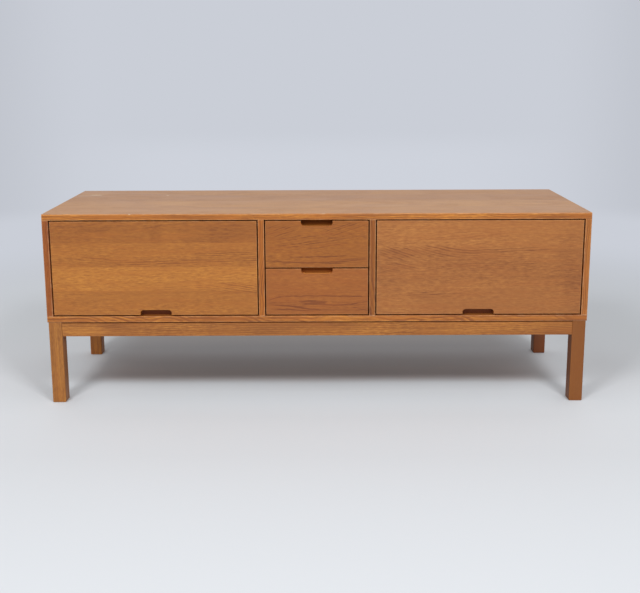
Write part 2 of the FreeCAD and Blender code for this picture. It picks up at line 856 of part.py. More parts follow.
def runner(i, holes):
    """The left runner of drawer i, its long inner edges eased and its screws sunk."""
    zs = (runner_mid(i) - runner_height / 2, runner_mid(i) + runner_height / 2)
    strip = block((divider_inner_x, runner_face_x), (runner_front_y, runner_front_y + runner_length), zs)
    for place_z in zs:
        strip = eased(strip, runner_edge_bevel, ("x", runner_face_x), ("z", place_z))
    sinks = [
        faceted_rod(place, place + X * (runner_counterbore + overrun), wood_screw_head_radius + glue_gap)
        for place in runner_screw_places()
        if abs(place.z - runner_mid(i)) < runner_height
    ]
    return drilled(strip.cut(sinks), holes)


# The whole sideboard, node by node

def carcass_nodes():
    """The boards, lippings, back and their fasteners."""
    holes = dowel_holes() + screw_holes() + fitting_holes()
    nodes = {
        "top_panel": flat_panel((inner_high, overall_height), holes),
        "bottom_panel": flat_panel((leg_height, inner_low), holes),
        "back_panel": back_panel(holes),
        "top_front_lipping": long_lipping(inner_high, overall_height),
        "bottom_front_lipping": long_lipping(inner_low, leg_height),
        "carcass_dowels": dowels(),
        "back_panel_screws": [screw(back_screw, place, -Y) for place in back_screw_places()],
    }
    pairs = {
        "side_panel": side_panel(holes),
        "divider": divider(holes),
        "side_lipping": upright_lipping((-half_width, side_inner_x), holes),
        "divider_lipping": upright_lipping((divider_outer_x, divider_inner_x), holes),
    }
    return nodes, pairs


def frame_nodes():
    """The legs, aprons, blocks and the screws that hold the carcass."""
    holes = screw_holes()
    nodes = {
        "front_apron": long_apron(-1),
        "rear_apron": long_apron(1),
        "corner_blocks": both([corner_block(end, holes) for end in (-1, 1)]),
        "frame_screws": both([screw(frame_screw, place, Z) for place in frame_screw_places()]),
    }
    for word, end in (("front", -1), ("rear", 1)):
        post = leg(end)
        nodes[f"{word}_left_leg"] = post
        nodes[f"{word}_right_leg"] = mirrored(post)
    return nodes, {"apron": side_apron()}


def fitting_nodes():
    """What the doors, shelves and drawers are hung, stopped and carried by."""
    interior = runner_screw_places() + plate_screw_places()
    nodes = {
        "interior_screws": both([screw(wood_screw, place, -X) for place in interior]),
        "door_pivot_bushes": both(pivot_bushes()),
        "door_stops": both([door_stop()]),
        "stay_friction_nuts": both([friction_nut()]),
        "shelf_pins": both(shelf_pins()),
    }
    holes = screw_holes()
    for i, word in enumerate(("lower", "upper")):
        strip = runner(i, holes)
        nodes[f"{word}_left_runner"] = strip
        nodes[f"{word}_right_runner"] = mirrored(strip)
    return nodes, {"stay_plate": stay_plate(), "shelf": shelf()}


def door_nodes():
    """The moving pieces of the two flaps and their stays."""
    return {}, {
        "door_panel": door_panel(),
        "door_pivot_pins": pivot_pins(),
        "stay_bracket": stay_bracket(),
        "bracket_screws": [screw(wood_screw, place, -Y) for place in bracket_screw_places()],
        "stay_rivet": stay_rivet(),
        "stay_arm": stay_arm(),
    }


def drawer_nodes():
    """The five pieces of each drawer."""
    nodes = {}
    for i, word in enumerate(("lower", "upper")):
        side = drawer_side(i)
        nodes[f"{word}_drawer_front"] = drawer_front(i)
        nodes[f"{word}_drawer_left_side"] = side
        nodes[f"{word}_drawer_right_side"] = mirrored(side)
        nodes[f"{word}_drawer_back"] = drawer_back(i)
        nodes[f"{word}_drawer_bottom"] = drawer_bottom(i)
    return nodes, {}


def all_nodes():
    """Every node by name, with the right-hand twins of the left-hand ones."""
    nodes = {}
    for make in (carcass_nodes, frame_nodes, fitting_nodes, door_nodes, drawer_nodes):
        single, pairs = make()
        nodes.update(single)
        for name, shape in pairs.items():
            group = isinstance(shape, list)
            nodes[f"left_{name}"] = shape
            nodes[f"right_{name}"] = [mirrored(part) for part in shape] if group else mirrored(shape)
    return nodes


os.makedirs("parts", exist_ok=True)
for name, shape in all_nodes().items():
    whole = Part.makeCompound(shape) if isinstance(shape, list) else shape
    assert whole.isValid() and whole.Solids, name
    whole.exportStep(f"parts/{name}.step")
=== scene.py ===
# A low oak sideboard on a square-legged frame: veneered boards with solid edges, two doors that
# lift on stays, two dovetailed drawers, and the screws, dowels and pins that hold it together.

import json
import logging
import math
from collections.abc import Callable, Sequence
from dataclasses import dataclass, field, replace
from enum import Enum
from functools import partial

import bmesh
import bpy
import numpy as np
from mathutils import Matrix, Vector

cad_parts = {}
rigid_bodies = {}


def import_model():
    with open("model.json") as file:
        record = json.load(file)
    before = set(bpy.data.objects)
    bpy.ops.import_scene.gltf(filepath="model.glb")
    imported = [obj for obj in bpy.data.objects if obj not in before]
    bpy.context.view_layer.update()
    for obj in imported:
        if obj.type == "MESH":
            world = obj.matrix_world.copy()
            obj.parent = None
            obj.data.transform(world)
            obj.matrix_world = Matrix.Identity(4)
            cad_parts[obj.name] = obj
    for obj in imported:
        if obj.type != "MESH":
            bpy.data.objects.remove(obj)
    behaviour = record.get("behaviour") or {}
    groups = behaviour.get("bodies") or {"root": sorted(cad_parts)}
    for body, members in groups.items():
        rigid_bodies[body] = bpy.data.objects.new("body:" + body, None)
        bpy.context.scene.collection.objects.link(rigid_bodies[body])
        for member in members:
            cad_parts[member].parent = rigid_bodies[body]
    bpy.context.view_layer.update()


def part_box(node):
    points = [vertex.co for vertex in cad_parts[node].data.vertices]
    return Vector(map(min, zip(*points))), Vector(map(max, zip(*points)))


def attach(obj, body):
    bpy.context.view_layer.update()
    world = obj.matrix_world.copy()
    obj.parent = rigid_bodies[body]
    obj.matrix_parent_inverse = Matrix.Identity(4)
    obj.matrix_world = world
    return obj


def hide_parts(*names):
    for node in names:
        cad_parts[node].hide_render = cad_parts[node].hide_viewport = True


log = logging.getLogger("sideboard")

IMAGE_WIDTH, IMAGE_HEIGHT = 640, 593
SENSOR_WIDTH = 36.0
# Edges of fittings sharper than this stay sharp
SHARP_DEGREES = 32
# A place well outside the cabinet, in metres
FAR = 9.0

Colour = tuple[float, float, float]
Triple = tuple[float, float, float]
Span = tuple[float, float]


def screen(red: int, green: int, blue: int) -> Colour:
    """A screen colour as the linear light that shaders take.

    Args:
        red, green, blue: the colour's parts, from 0 to 255.

    Returns:
        The three parts as linear light, from 0 to 1.
    """
    def part(value: int) -> float:
        """One part of the colour."""
        share = value / 255
        return share / 12.92 if share <= 0.04045 else ((share + 0.055) / 1.055) ** 2.4

    return part(red), part(green), part(blue)


def shaded(colour: Colour, shares: Sequence[float]) -> Colour:
    """A colour with each of its parts turned down or up by a share."""
    return tuple(part * share for part, share in zip(colour, shares))


# Node trees

# How much growth lines differ in strength
EACH_VARIES = 0.75


class Level:
    """A number that varies from place to place: a node's output, with plain arithmetic on it."""

    def __init__(self, graph: "Graph", socket: bpy.types.NodeSocket) -> None:
        """Args: graph, the tree it belongs to; socket, the output that gives it."""
        self.graph = graph
        self.socket = socket

    def __add__(self, other: "Feed") -> "Level":
        """The sum of the two."""
        return self.graph.math("ADD", self, other)

    def __sub__(self, other: "Feed") -> "Level":
        """This less the other."""
        return self.graph.math("SUBTRACT", self, other)

    def __rsub__(self, other: "Feed") -> "Level":
        """The other less this."""
        return self.graph.math("SUBTRACT", other, self)

    def __mul__(self, other: "Feed") -> "Level":
        """The product of the two."""
        return self.graph.math("MULTIPLY", self, other)

    def __truediv__(self, other: "Feed") -> "Level":
        """This divided by the other."""
        return self.graph.math("DIVIDE", self, other)

    __radd__ = __add__
    __rmul__ = __mul__

    def least(self, other: "Feed") -> "Level":
        """The smaller of the two."""
        return self.graph.math("MINIMUM", self, other)

    def most(self, other: "Feed") -> "Level":
        """The larger of the two."""
        return self.graph.math("MAXIMUM", self, other)

    def above(self, limit: float) -> "Level":
        """1 where this is over the limit, and 0 elsewhere."""
        return self.graph.math("GREATER_THAN", self, limit)

    def whole(self) -> "Level":
        """The whole number below."""
        return self.graph.math("FLOOR", self)

    def rest(self) -> "Level":
        """What is over the whole number below."""
        return self.graph.math("FRACT", self)

    def size(self) -> "Level":
        """The number without its sign."""
        return self.graph.math("ABSOLUTE", self)

    def root(self) -> "Level":
        """The square root."""
        return self.graph.math("SQRT", self)

    def rise(self, low: float, high: float) -> "Level":
        """0 below low and 1 above high, with a smooth step between them."""
        found = self.graph.add(
            "ShaderNodeMapRange",
            {"Value": self, "From Min": low, "From Max": high, "To Min": 0.0, "To Max": 1.0},
            interpolation_type="SMOOTHSTEP",
        )
        return Level(self.graph, found.outputs[0])


Feed = Level | bpy.types.NodeSocket | float | int | Sequence[float]


class Graph:
    """A node tree with short methods for the nodes that the finishes and fittings share."""

    def __init__(self, tree: bpy.types.NodeTree) -> None:
        """Args: tree, the node tree to fill."""
        self.tree = tree

    def feed(self, socket: bpy.types.NodeSocket, value: Feed) -> None:
        """Links a value to a socket, or writes it there if it is plain."""
        if isinstance(value, Level):
            self.tree.links.new(value.socket, socket)
        elif isinstance(value, bpy.types.NodeSocket):
            self.tree.links.new(value, socket)
        else:
            socket.default_value = value

    def add(
        self, kind: str, inputs: dict[str | int, Feed] | None = None, **settings: object
    ) -> bpy.types.Node:
        """A new node.

        Args:
            kind: Blender's name for the kind of node.
            inputs: what goes into its sockets, by name or number.
            settings: the node's own properties.

        Returns:
            The node.
        """
        node = self.tree.nodes.new(kind)
        for name, value in settings.items():
            setattr(node, name, value)
        for name, value in (inputs or {}).items():
            self.feed(node.inputs[name], value)
        return node

    def math(self, operation: str, *values: Feed) -> Level:
        """One step of arithmetic on one or two values."""
        node = self.add("ShaderNodeMath", dict(enumerate(values)), operation=operation)
        return Level(self, node.outputs[0])

    def triple(self, x: Feed, y: Feed, z: Feed) -> bpy.types.NodeSocket:
        """Three numbers as one vector."""
        return self.add("ShaderNodeCombineXYZ", {0: x, 1: y, 2: z}).outputs[0]


class Surface(Graph):
    """A material under construction, read at the piece's own places in metres."""

    def __init__(self, name: str) -> None:
        """Args: name, the material's name."""
        self.material = bpy.data.materials.new(name)
        self.material.use_nodes = True
        super().__init__(self.material.node_tree)
        self.tree.nodes.clear()
        place = self.add("ShaderNodeTexCoord").outputs["Object"]
        parts = self.add("ShaderNodeSeparateXYZ", {0: place}).outputs
        self.x, self.y, self.z = (Level(self, part) for part in parts)

    def noise(self, place: bpy.types.NodeSocket, detail: float = 2.0, roughness: float = 0.5) -> Level:
        """Smooth noise around a half, one wave to each unit of the place."""
        node = self.add(
            "ShaderNodeTexNoise", {"Vector": place, "Scale": 1.0, "Detail": detail, "Roughness": roughness}
        )
        return Level(self, node.outputs[0])

    def speckle(self, waves: float, detail: float = 3.0) -> Level:
        """Even noise all through the piece, so many waves to a metre."""
        return self.noise(self.triple(self.x * waves, self.y * waves, self.z * waves), detail)

    def level(self, number: float) -> Level:
        """A plain number as a level."""
        return self.math("ADD", number, 0.0)

    def cells(self, place: bpy.types.NodeSocket) -> Level:
        """The distance to the nearest of scattered points, one to each unit of the place."""
        node = self.add("ShaderNodeTexVoronoi", {"Vector": place, "Scale": 1.0})
        return Level(self, node.outputs[0])

    def chance(self, number: Level, seed: float) -> Level:
        """An even random number from 0 to 1 for each whole number."""
        node = self.add("ShaderNodeTexWhiteNoise", {"W": number + seed}, noise_dimensions="1D")
        return Level(self, node.outputs[0])

    def growth_lines(self, count: Level, seed: float, rise: float, fall: Span) -> Level:
        """Growth lines that darken fast and pale slowly, each with a strength of its own.

        Args:
            count: the place, counted in rings.
            seed: what settles the strengths.
            rise: the share of a ring that the line takes to darken.
            fall: the shares between which it pales.

        Returns:
            How much a place lies on a line.
        """
        share = count.rest()
        line = share.rise(0.0, rise) * (1.0 - share.rise(*fall))
        return line * (self.chance(count.whole(), seed) * EACH_VARIES + (1.0 - EACH_VARIES))

    def tint(self, amount: Level, stops: Sequence[tuple[float, Colour]]) -> bpy.types.NodeSocket:
        """A colour along a ramp of stops."""
        node = self.add("ShaderNodeValToRGB", {0: amount})
        elements = node.color_ramp.elements
        while len(elements) < len(stops):
            elements.new(0.5)
        for element, (place, colour) in zip(elements, stops):
            element.position = place
            element.color = (*colour, 1.0)
        return node.outputs[0]

    def blend(self, share: Level, low: bpy.types.NodeSocket, high: Colour) -> bpy.types.NodeSocket:
        """One colour turned into another by a share."""
        node = self.add("ShaderNodeMix", {0: share, 6: low, 7: (*high, 1.0)}, data_type="RGBA")
        return node.outputs[2]

    def finish(
        self,
        colour: Feed,
        roughness: Feed,
        height: Level | None = None,
        bump_depth: float = 0.0001,
        metallic: float = 0.0,
        specular: Feed = 0.5,
    ) -> bpy.types.Material:
        """Closes the tree with its shader.

        Args:
            colour: the base colour.
            roughness: how rough it is.
            height: what stands proud, from 0 to 1, if anything does.
            bump_depth: how far a height of 1 stands, in metres.
            metallic, specular: the shader's own values.

        Returns:
            The material.
        """
        inputs = {
            "Base Color": colour,
            "Metallic": metallic,
            "Roughness": roughness,
            "Specular IOR Level": specular,
        }
        if height is not None:
            bump = self.add("ShaderNodeBump", {"Strength": 1.0, "Distance": bump_depth, "Height": height})
            inputs["Normal"] = bump.outputs[0]
        shader = self.add("ShaderNodeBsdfPrincipled", inputs)
        self.add("ShaderNodeOutputMaterial", {0: shader.outputs[0]})
        return self.material


# Boards and how their grain runs

class Grain(Enum):
    """The axes along the grain, across it in the face, and into the board."""

    WIDE_FRONT = "xzy"
    WIDE_FLAT = "xyz"
    TALL_FRONT = "zxy"
    TALL_SIDE = "zyx"
    DEEP_SIDE = "yzx"


@dataclass(frozen=True)
class Board:
    """A box-shaped piece, with its lowest and highest corners."""

    low: Triple
    high: Triple

    @classmethod
    def of(cls, node: str) -> "Board":
        """The board that a CAD node is."""
        low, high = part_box(node)
        return cls(tuple(low), tuple(high))

    def edge_distance(self, surface: Surface) -> Level:
        """How far a place on a face lies from the board's nearest edge.

        Args:
            surface: the material that asks.

        Returns:
            The middle one of the distances to the three pairs of faces.
        """
        near = [
            (place - low).least(high - place).most(0.0)
            for place, low, high in zip((surface.x, surface.y, surface.z), self.low, self.high)
        ]
        a, b, c = near
        return a.least(b).most(a.most(b).least(c))


@dataclass(frozen=True)
class Weave:
    """Noise drawn out along the grain: waves to a metre along and across it, detail, roughness."""

    along: float
    across: float
    detail: float = 3.0
    roughness: float = 0.5

    def laid(self, s: Surface, along: Level, across: Level, depth: Level) -> Level:
        """The noise all through the wood."""
        place = s.triple(along * self.along, across * self.across, depth * self.across)
        return s.noise(place, self.detail, self.roughness)

    def cut(self, s: Surface, along: Level, across: Level, seed: float) -> Level:
        """The noise on one cut through the wood, chosen by the seed."""
        return s.noise(s.triple(along * self.along, across * self.across, seed), self.detail, self.roughness)


@dataclass(frozen=True)
class Figure:
    """How the growth rings show: sizes in metres, strengths as shares of the tone.

    The heart is the log's middle, which the board's face passes at some depth and rises from.
    """

    ring: float = 0.0042
    heart_depth: float = 0.035
    heart_rise: float = 0.03
    heart_across: float = 0.0
    wander: float = 0.02
    wander_pitch: float = 0.45
    strength: float = 0.2
    patch: float = 0.5

    PATCHES = Weave(4.5, 16, 2.0)
    PATCH_FADE = (0.36, 0.62)
    RIPPLE = (7, 28)
    RIPPLE_RINGS = 1.7
    SWAY_SEED, DIP_SEED, PATCH_SEED, RING_SEED = 3.1, 9.7, 5.0, 17.0
    WANDER_DETAIL = 1.5
    DIP_SHARE = 1.6
    DEPTH_SHARE = 0.6
    RING_RISE, RING_FALL = 0.14, (0.2, 0.85)

    def rings(self, s: Surface, along: Level, across: Level, depth: Level, shift: float) -> Level:
        """The growth rings round the log's heart, cut by the board's faces.

        Args:
            s: the material.
            along, across, depth: the place, measured by the grain.
            shift: where on the log the board starts.

        Returns:
            How much a place lies on a ring's dark line.
        """
        sway, dip = (
            s.noise(s.triple(along / self.wander_pitch, shift + seed, 0.0), self.WANDER_DETAIL) - 0.5
            for seed in (self.SWAY_SEED, self.DIP_SEED)
        )
        long, wide = self.RIPPLE
        ripple = s.noise(s.triple(along * long, across * wide, depth * wide + shift), 3.0) - 0.5
        side = across - self.heart_across + sway * self.wander
        deep = along * self.heart_rise + dip * self.wander * self.DIP_SHARE
        deep = deep + depth * self.DEPTH_SHARE + self.heart_depth
        radius = (side * side + deep * deep).root() + ripple * self.ring * self.RIPPLE_RINGS
        return s.growth_lines(radius / self.ring, shift + self.RING_SEED, self.RING_RISE, self.RING_FALL)

    def shown(self, s: Surface, along: Level, across: Level, shift: float) -> Level:
        """How strongly the rings show at a place."""
        patch = self.PATCHES.cut(s, along, across, shift + self.PATCH_SEED).rise(*self.PATCH_FADE)
        return (patch * self.patch + (1.0 - self.patch)) * self.strength


@dataclass(frozen=True)
class Leaves:
    """Veneer leaves glued side by side: where the first starts, how wide they are, their tones."""

    start: float
    width: float
    tones: tuple[float, ...]

    SPREAD = 3.0
    SEAM = (0.494, 0.5)
    SEAM_TONE = 0.12

    def number(self, across: Level) -> Level:
        """Which leaf a place lies on, counted from the first."""
        return ((across - self.start) / self.width).whole()

    def local(self, leaf: Level, across: Level) -> Level:
        """How far a place lies from its leaf's middle."""
        return across - ((leaf + 0.5) * self.width + self.start)

    def toned(self, light: Level, leaf: Level, local: Level) -> Level:
        """A tone with each leaf's own added, and darker at the seams."""
        light = light + self.tones[0]
        for i, (before, after) in enumerate(zip(self.tones, self.tones[1:])):
            light = light + leaf.above(i + 0.5) * (after - before)
        return light - (local.size() / self.width).rise(*self.SEAM) * self.SEAM_TONE


@dataclass(frozen=True)
class Mark:
    """A worn or bruised spot: its middle, its half sizes and how pale it is."""

    centre: Triple
    reach: Triple
    strength: float = 0.8

    RAGGED_WAVES = 700
    RAGGED = 1.4
    FADE = (0.55, 1.1)

    def shown(self, s: Surface) -> Level:
        """Where the mark shows, with a ragged rim."""
        x, y, z = (
            (place - middle) / reach
            for place, middle, reach in zip((s.x, s.y, s.z), self.centre, self.reach)
        )
        ragged = (s.speckle(self.RAGGED_WAVES) - 0.5) * self.RAGGED
        far = (x * x + y * y + z * z).root() + ragged
        return (1.0 - far.rise(*self.FADE)) * self.strength


@dataclass(frozen=True)
class Patch:
    """A soft lighter or darker patch: its middle and half sizes along and across the grain."""

    middle: tuple[float, float]
    reach: tuple[float, float]
    amount: float

    WEAVE = Weave(14, 90)
    WEAVE_SEED = 2.0
    RAGGED = 0.9
    FADE = (0.35, 1.1)

    def inside(self, s: Surface, along: Level, across: Level) -> Level:
        """How far a place lies inside the patch, from 0 to 1."""
        u = (along - self.middle[0]) / self.reach[0]
        v = (across - self.middle[1]) / self.reach[1]
        ragged = self.WEAVE.cut(s, along, across, self.WEAVE_SEED) - 0.5
        return 1.0 - ((u * u + v * v).root() + ragged * self.RAGGED).rise(*self.FADE)


@dataclass(frozen=True)
class Flame:
    """A stretch of bolder growth lines: its middle and half sizes along and across the grain.

    The lines rise by slope for each metre along, and bow is how fast they bend.
    """

    middle: tuple[float, float]
    reach: tuple[float, float]
    ring: float = 0.007
    slope: float = 0.0
    bow: float = 0.0
    strength: float = 0.3
    seed: float = 0.0

    RIPPLE = Weave(22, 60, 2.0)
    RIPPLE_REACH = 0.006
    LINE_RISE, LINE_FALL = 0.16, (0.22, 0.72)
    BREAKS = Weave(26, 110, 2.0)
    BREAK_SEED = 4.0
    BREAK_FADE = (0.3, 0.62)
    BREAK_SHARE = 0.75
    FADE = (0.3, 1.0)

    def dark(self, s: Surface, along: Level, across: Level) -> Level:
        """How dark the flame's lines are at a place."""
        u, v = along - self.middle[0], across - self.middle[1]
        ripple = self.RIPPLE.cut(s, along, across, self.seed) - 0.5
        count = (v - u * self.slope - u * u * self.bow + ripple * self.RIPPLE_REACH) / self.ring
        lines = s.growth_lines(count, self.seed, self.LINE_RISE, self.LINE_FALL)
        broken = self.BREAKS.cut(s, along, across, self.seed + self.BREAK_SEED).rise(*self.BREAK_FADE)
        far = u * u / self.reach[0] ** 2 + v * v / self.reach[1] ** 2
        kept = broken * self.BREAK_SHARE + (1.0 - self.BREAK_SHARE)
        return lines * kept * (1.0 - far.rise(*self.FADE)) * self.strength


@dataclass(frozen=True)
class Stroke:
    """One growth line: its middle, half length, slope, bow, half thickness and how dark it is."""

    middle: tuple[float, float]
    half: float
    slope: float = 0.0
    bow: float = 0.0
    thick: float = 0.0022
    strength: float = 0.5

    SEED_ALONG, SEED_ACROSS = 50, 90
    SWAY = Weave(34, 12, 2.0)
    SWAY_REACH = 0.004
    UNEVEN = Weave(60, 60, 2.0)
    UNEVEN_SEED = 3.0
    UNEVEN_FADE = (0.3, 0.62)
    UNEVEN_SHARE = 0.55
    END_FADE = (0.55, 1.0)
    SIDE_FADE = (0.2, 1.0)

    def dark(self, s: Surface, along: Level, across: Level) -> Level:
        """How dark the line is at a place."""
        u, v = along - self.middle[0], across - self.middle[1]
        seed = self.middle[0] * self.SEED_ALONG + self.middle[1] * self.SEED_ACROSS
        sway = self.SWAY.cut(s, along, across, seed) - 0.5
        off = (v - u * self.slope - u * u * self.bow + sway * self.SWAY_REACH).size() / self.thick
        uneven = self.UNEVEN.cut(s, along, across, seed + self.UNEVEN_SEED).rise(*self.UNEVEN_FADE)
        kept = uneven * self.UNEVEN_SHARE + (1.0 - self.UNEVEN_SHARE)
        ends = (u.size() / self.half).rise(*self.END_FADE)
        return (1.0 - off.rise(*self.SIDE_FADE)) * (1.0 - ends) * kept * self.strength


@dataclass(frozen=True)
class Zone:
    """A part of a board that has a colour of its own, or painted light or shade, between two corners; None
    leaves a side open.

    Its gloss is less by dull times what shows of its colour.
    """

    colour: Colour
    low: tuple[float | None, float | None, float | None] = (None, None, None)
    high: tuple[float | None, float | None, float | None] = (None, None, None)
    share: float = 0.8
    soft: float = 0.0003
    dull: float = 0.85

    def shown(self, s: Surface) -> Level:
        """How much of the zone's colour shows at a place."""
        share = s.level(self.share)
        for place, low, high in zip((s.x, s.y, s.z), self.low, self.high):
            if low is not None:
                share = share * place.rise(low - self.soft, low + self.soft)
            if high is not None:
                share = share * (1.0 - place.rise(high - self.soft, high + self.soft))
        return share


@dataclass(frozen=True)
class Wood:
    """A wood finish under thin satin lacquer.

    Fibre, dash, streak, cloud, pore and fleck are how strongly each part of the grain shows in
    the tone, hue is how much redder its bands are, and shift is where on the log a piece starts.
    """

    colour: Colour
    grain: Grain
    figure: Figure = Figure()
    leaves: Leaves | None = None
    fibre: float = 0.16
    dash: float = 0.5
    streak: float = 0.28
    streak_pitch: float = 0.0133
    cloud: float = 0.12
    hue: float = 0.35
    pore: float = 0.22
    fleck: float = 0.0
    # How pale the edges are: partly real wear, partly a painted highlight
    wear: float = 0.25
    wear_reach: float = 0.0026
    roughness: float = 0.42
    specular: float = 0.5
    shift: float = 0.0
    marks: tuple[Mark, ...] = ()
    patches: tuple[Patch, ...] = ()
    flames: tuple[Flame, ...] = ()
    strokes: tuple[Stroke, ...] = ()
    zones: tuple[Zone, ...] = ()

    # The ends of the tone's range and the redder bands, as shares of the colour
    DARK = (0.60, 0.50, 0.44)
    LIGHT = (1.42, 1.60, 1.66)
    REDDER = (1.0, 0.88, 0.80)
    BARE = screen(214, 186, 150)
    # The pale colour of rubbed edges, partly a painted highlight
    RUBBED = screen(208, 166, 128)
    GLOSS, LEAST_LIGHT = 0.025, 0.006
    MIDDLE_TONE = 0.5
    # The parts of the grain
    STREAK_ALONG, STREAK_DETAIL, STREAK_ROUGHNESS = 1.7, 4.0, 0.62
    DASHES = Weave(52, 240, 3.0, 0.62)
    DASH_CLOUDS, DASH_GAIN, DASH_LEAST = (0.3, 0.65), 0.8, 0.55
    FIBRES = Weave(11, 620, 3.0, 0.6)
    CLOUDS = Weave(3.2, 9, 2.0)
    PORES = Weave(85, 1900, 1.0)
    PORE_SPAN, PORES_IN_RINGS = (0.55, 0.74), 0.75
    FLECKS, FLECK_SPAN = (38, 420), (0.16, 0.3)
    BANDS, BAND_SPAN = Weave(8, 70), (0.42, 0.66)
    # How edges are worn pale: partly real wear, partly a painted highlight on their rounding
    RUB_START, RUB_WAVES, RUB_SPAN, RUB_VARIES = 0.0004, 60, (0.4, 0.65), 0.6
    RUB_TONE, RUB_COLOUR, RUB_ROUGH = 0.4, 0.45, 0.1
    # What the lacquer's roughness and height take from the grain
    PORE_ROUGH, CLOUD_ROUGH = 0.16, 0.16
    FIBRE_HEIGHT, PORE_HEIGHT, RING_HEIGHT, LEVEL_HEIGHT = 0.25, 0.7, 0.2, 0.6
    BUMP_DEPTH = 0.00012

    def ramp(self) -> list[tuple[float, Colour]]:
        """The dark, middle and light colours, less what the lacquer's own gloss adds."""
        bare = tuple(max(part - self.GLOSS, self.LEAST_LIGHT) for part in self.colour)
        return [
            (0.0, shaded(bare, self.DARK)),
            (self.MIDDLE_TONE, bare),
            (1.0, tuple(min(1.0, part) for part in shaded(bare, self.LIGHT))),
        ]

    def rub(self, s: Surface, board: Board) -> Level:
        """How much a place near an edge is rubbed pale, unevenly: partly real wear, partly a painted
        highlight where the rounded edge catches the lamps.
        """
        uneven = s.speckle(self.RUB_WAVES).rise(*self.RUB_SPAN) * self.RUB_VARIES + (1.0 - self.RUB_VARIES)
        return (1.0 - board.edge_distance(s).rise(self.RUB_START, self.wear_reach)) * uneven

    def drawn_lines(self, s: Surface, light: Level, place: Level, across: Level) -> Level:
        """A tone with the patches, flames and strokes that this board alone has."""
        for patch in self.patches:
            light = light + patch.inside(s, place, across) * patch.amount
        for line in (*self.flames, *self.strokes):
            light = light - line.dark(s, place, across)
        return light

    def material(self, name: str, board: Board) -> bpy.types.Material:
        """The finish laid on one board.

        Args:
            name: the material's name.
            board: the board, whose edges are worn pale and carry a painted highlight.

        Returns:
            The material.
        """
        s = Surface(name)
        axes = {"x": s.x, "y": s.y, "z": s.z}
        place, across, depth = (axes[letter] for letter in self.grain.value)
        along, local = place + self.shift, across
        light = s.level(self.MIDDLE_TONE)
        if self.leaves:
            leaf = self.leaves.number(across)
            local = self.leaves.local(leaf, across)
            along = along + s.chance(leaf, self.shift) * self.leaves.SPREAD
            light = self.leaves.toned(light, leaf, local)
        ring = self.figure.rings(s, along, local, depth, self.shift)
        strength = self.figure.shown(s, along, local, self.shift)
        streak_weave = Weave(
            self.STREAK_ALONG, 1.0 / self.streak_pitch, self.STREAK_DETAIL, self.STREAK_ROUGHNESS
        )
        streaks, dashes, fibres, clouds, pores, bands = (
            weave.laid(s, along, across, depth)
            for weave in (streak_weave, self.DASHES, self.FIBRES, self.CLOUDS, self.PORES, self.BANDS)
        )
        open_pores = pores.rise(*self.PORE_SPAN) * (ring * self.PORES_IN_RINGS + (1.0 - self.PORES_IN_RINGS))
        light = light - ring * strength - open_pores * self.pore
        for part, amount in ((fibres, self.fibre), (streaks, self.streak), (clouds, self.cloud)):
            light = light + (part - 0.5) * amount
        dash_share = clouds.rise(*self.DASH_CLOUDS) * self.DASH_GAIN + self.DASH_LEAST
        light = light + (dashes - 0.5) * dash_share * self.dash
        light = self.drawn_lines(s, light, place, across)
        if self.fleck:
            long, wide = self.FLECKS
            gap = s.cells(s.triple(along * long, across * wide, depth * wide)).rise(*self.FLECK_SPAN)
            light = light - (1.0 - gap) * self.fleck
        rub = self.rub(s, board)
        light = light + rub * self.wear * self.RUB_TONE
        colour = s.tint(light, self.ramp())
        redder = shaded(self.ramp()[1][1], self.REDDER)
        colour = s.blend(bands.rise(*self.BAND_SPAN) * self.hue, colour, redder)
        colour = s.blend(rub * self.wear * self.RUB_COLOUR, colour, self.RUBBED)
        gloss = self.specular
        for zone in self.zones:
            inside = zone.shown(s)
            colour = s.blend(inside, colour, zone.colour)
            gloss = (1.0 - inside * zone.dull) * gloss
        for mark in self.marks:
            colour = s.blend(mark.shown(s), colour, self.BARE)
        rough = open_pores * self.PORE_ROUGH + rub * self.RUB_ROUGH
        rough = rough + (clouds - 0.5) * self.CLOUD_ROUGH + self.roughness
        height = fibres * self.FIBRE_HEIGHT - open_pores * self.PORE_HEIGHT
        height = height - ring * self.RING_HEIGHT + self.LEVEL_HEIGHT
        return s.finish(colour, rough, height, bump_depth=self.BUMP_DEPTH, specular=gloss)


@dataclass(frozen=True)
class Metal:
    """A plain metal with fine scratches and handling marks."""

    colour: Colour
    roughness: float = 0.32

    SCRATCHES = (240, 2600, 900)
    SCRATCH_ROUGH = 0.28
    STAIN_WAVES = 190
    STAIN_SPAN = (0.32, 0.6)
    STAIN_SHARE, STAIN_ROUGH = 0.62, 0.2
    BUMP_DEPTH = 0.00002

    def material(self, name: str) -> bpy.types.Material:
        """The finish as a material of that name."""
        s = Surface(name)
        x, y, z = (place * waves for place, waves in zip((s.x, s.y, s.z), self.SCRATCHES))
        fine = s.noise(s.triple(x, y, z), 3.0)
        stains = s.speckle(self.STAIN_WAVES)
        dark = tuple(part * self.STAIN_SHARE for part in self.colour)
        colour = s.tint(stains, list(zip(self.STAIN_SPAN, (dark, self.colour))))
        rough = (fine - 0.5) * self.SCRATCH_ROUGH + (stains - 0.5) * self.STAIN_ROUGH + self.roughness
        return s.finish(colour, rough, fine, bump_depth=self.BUMP_DEPTH, metallic=1.0)


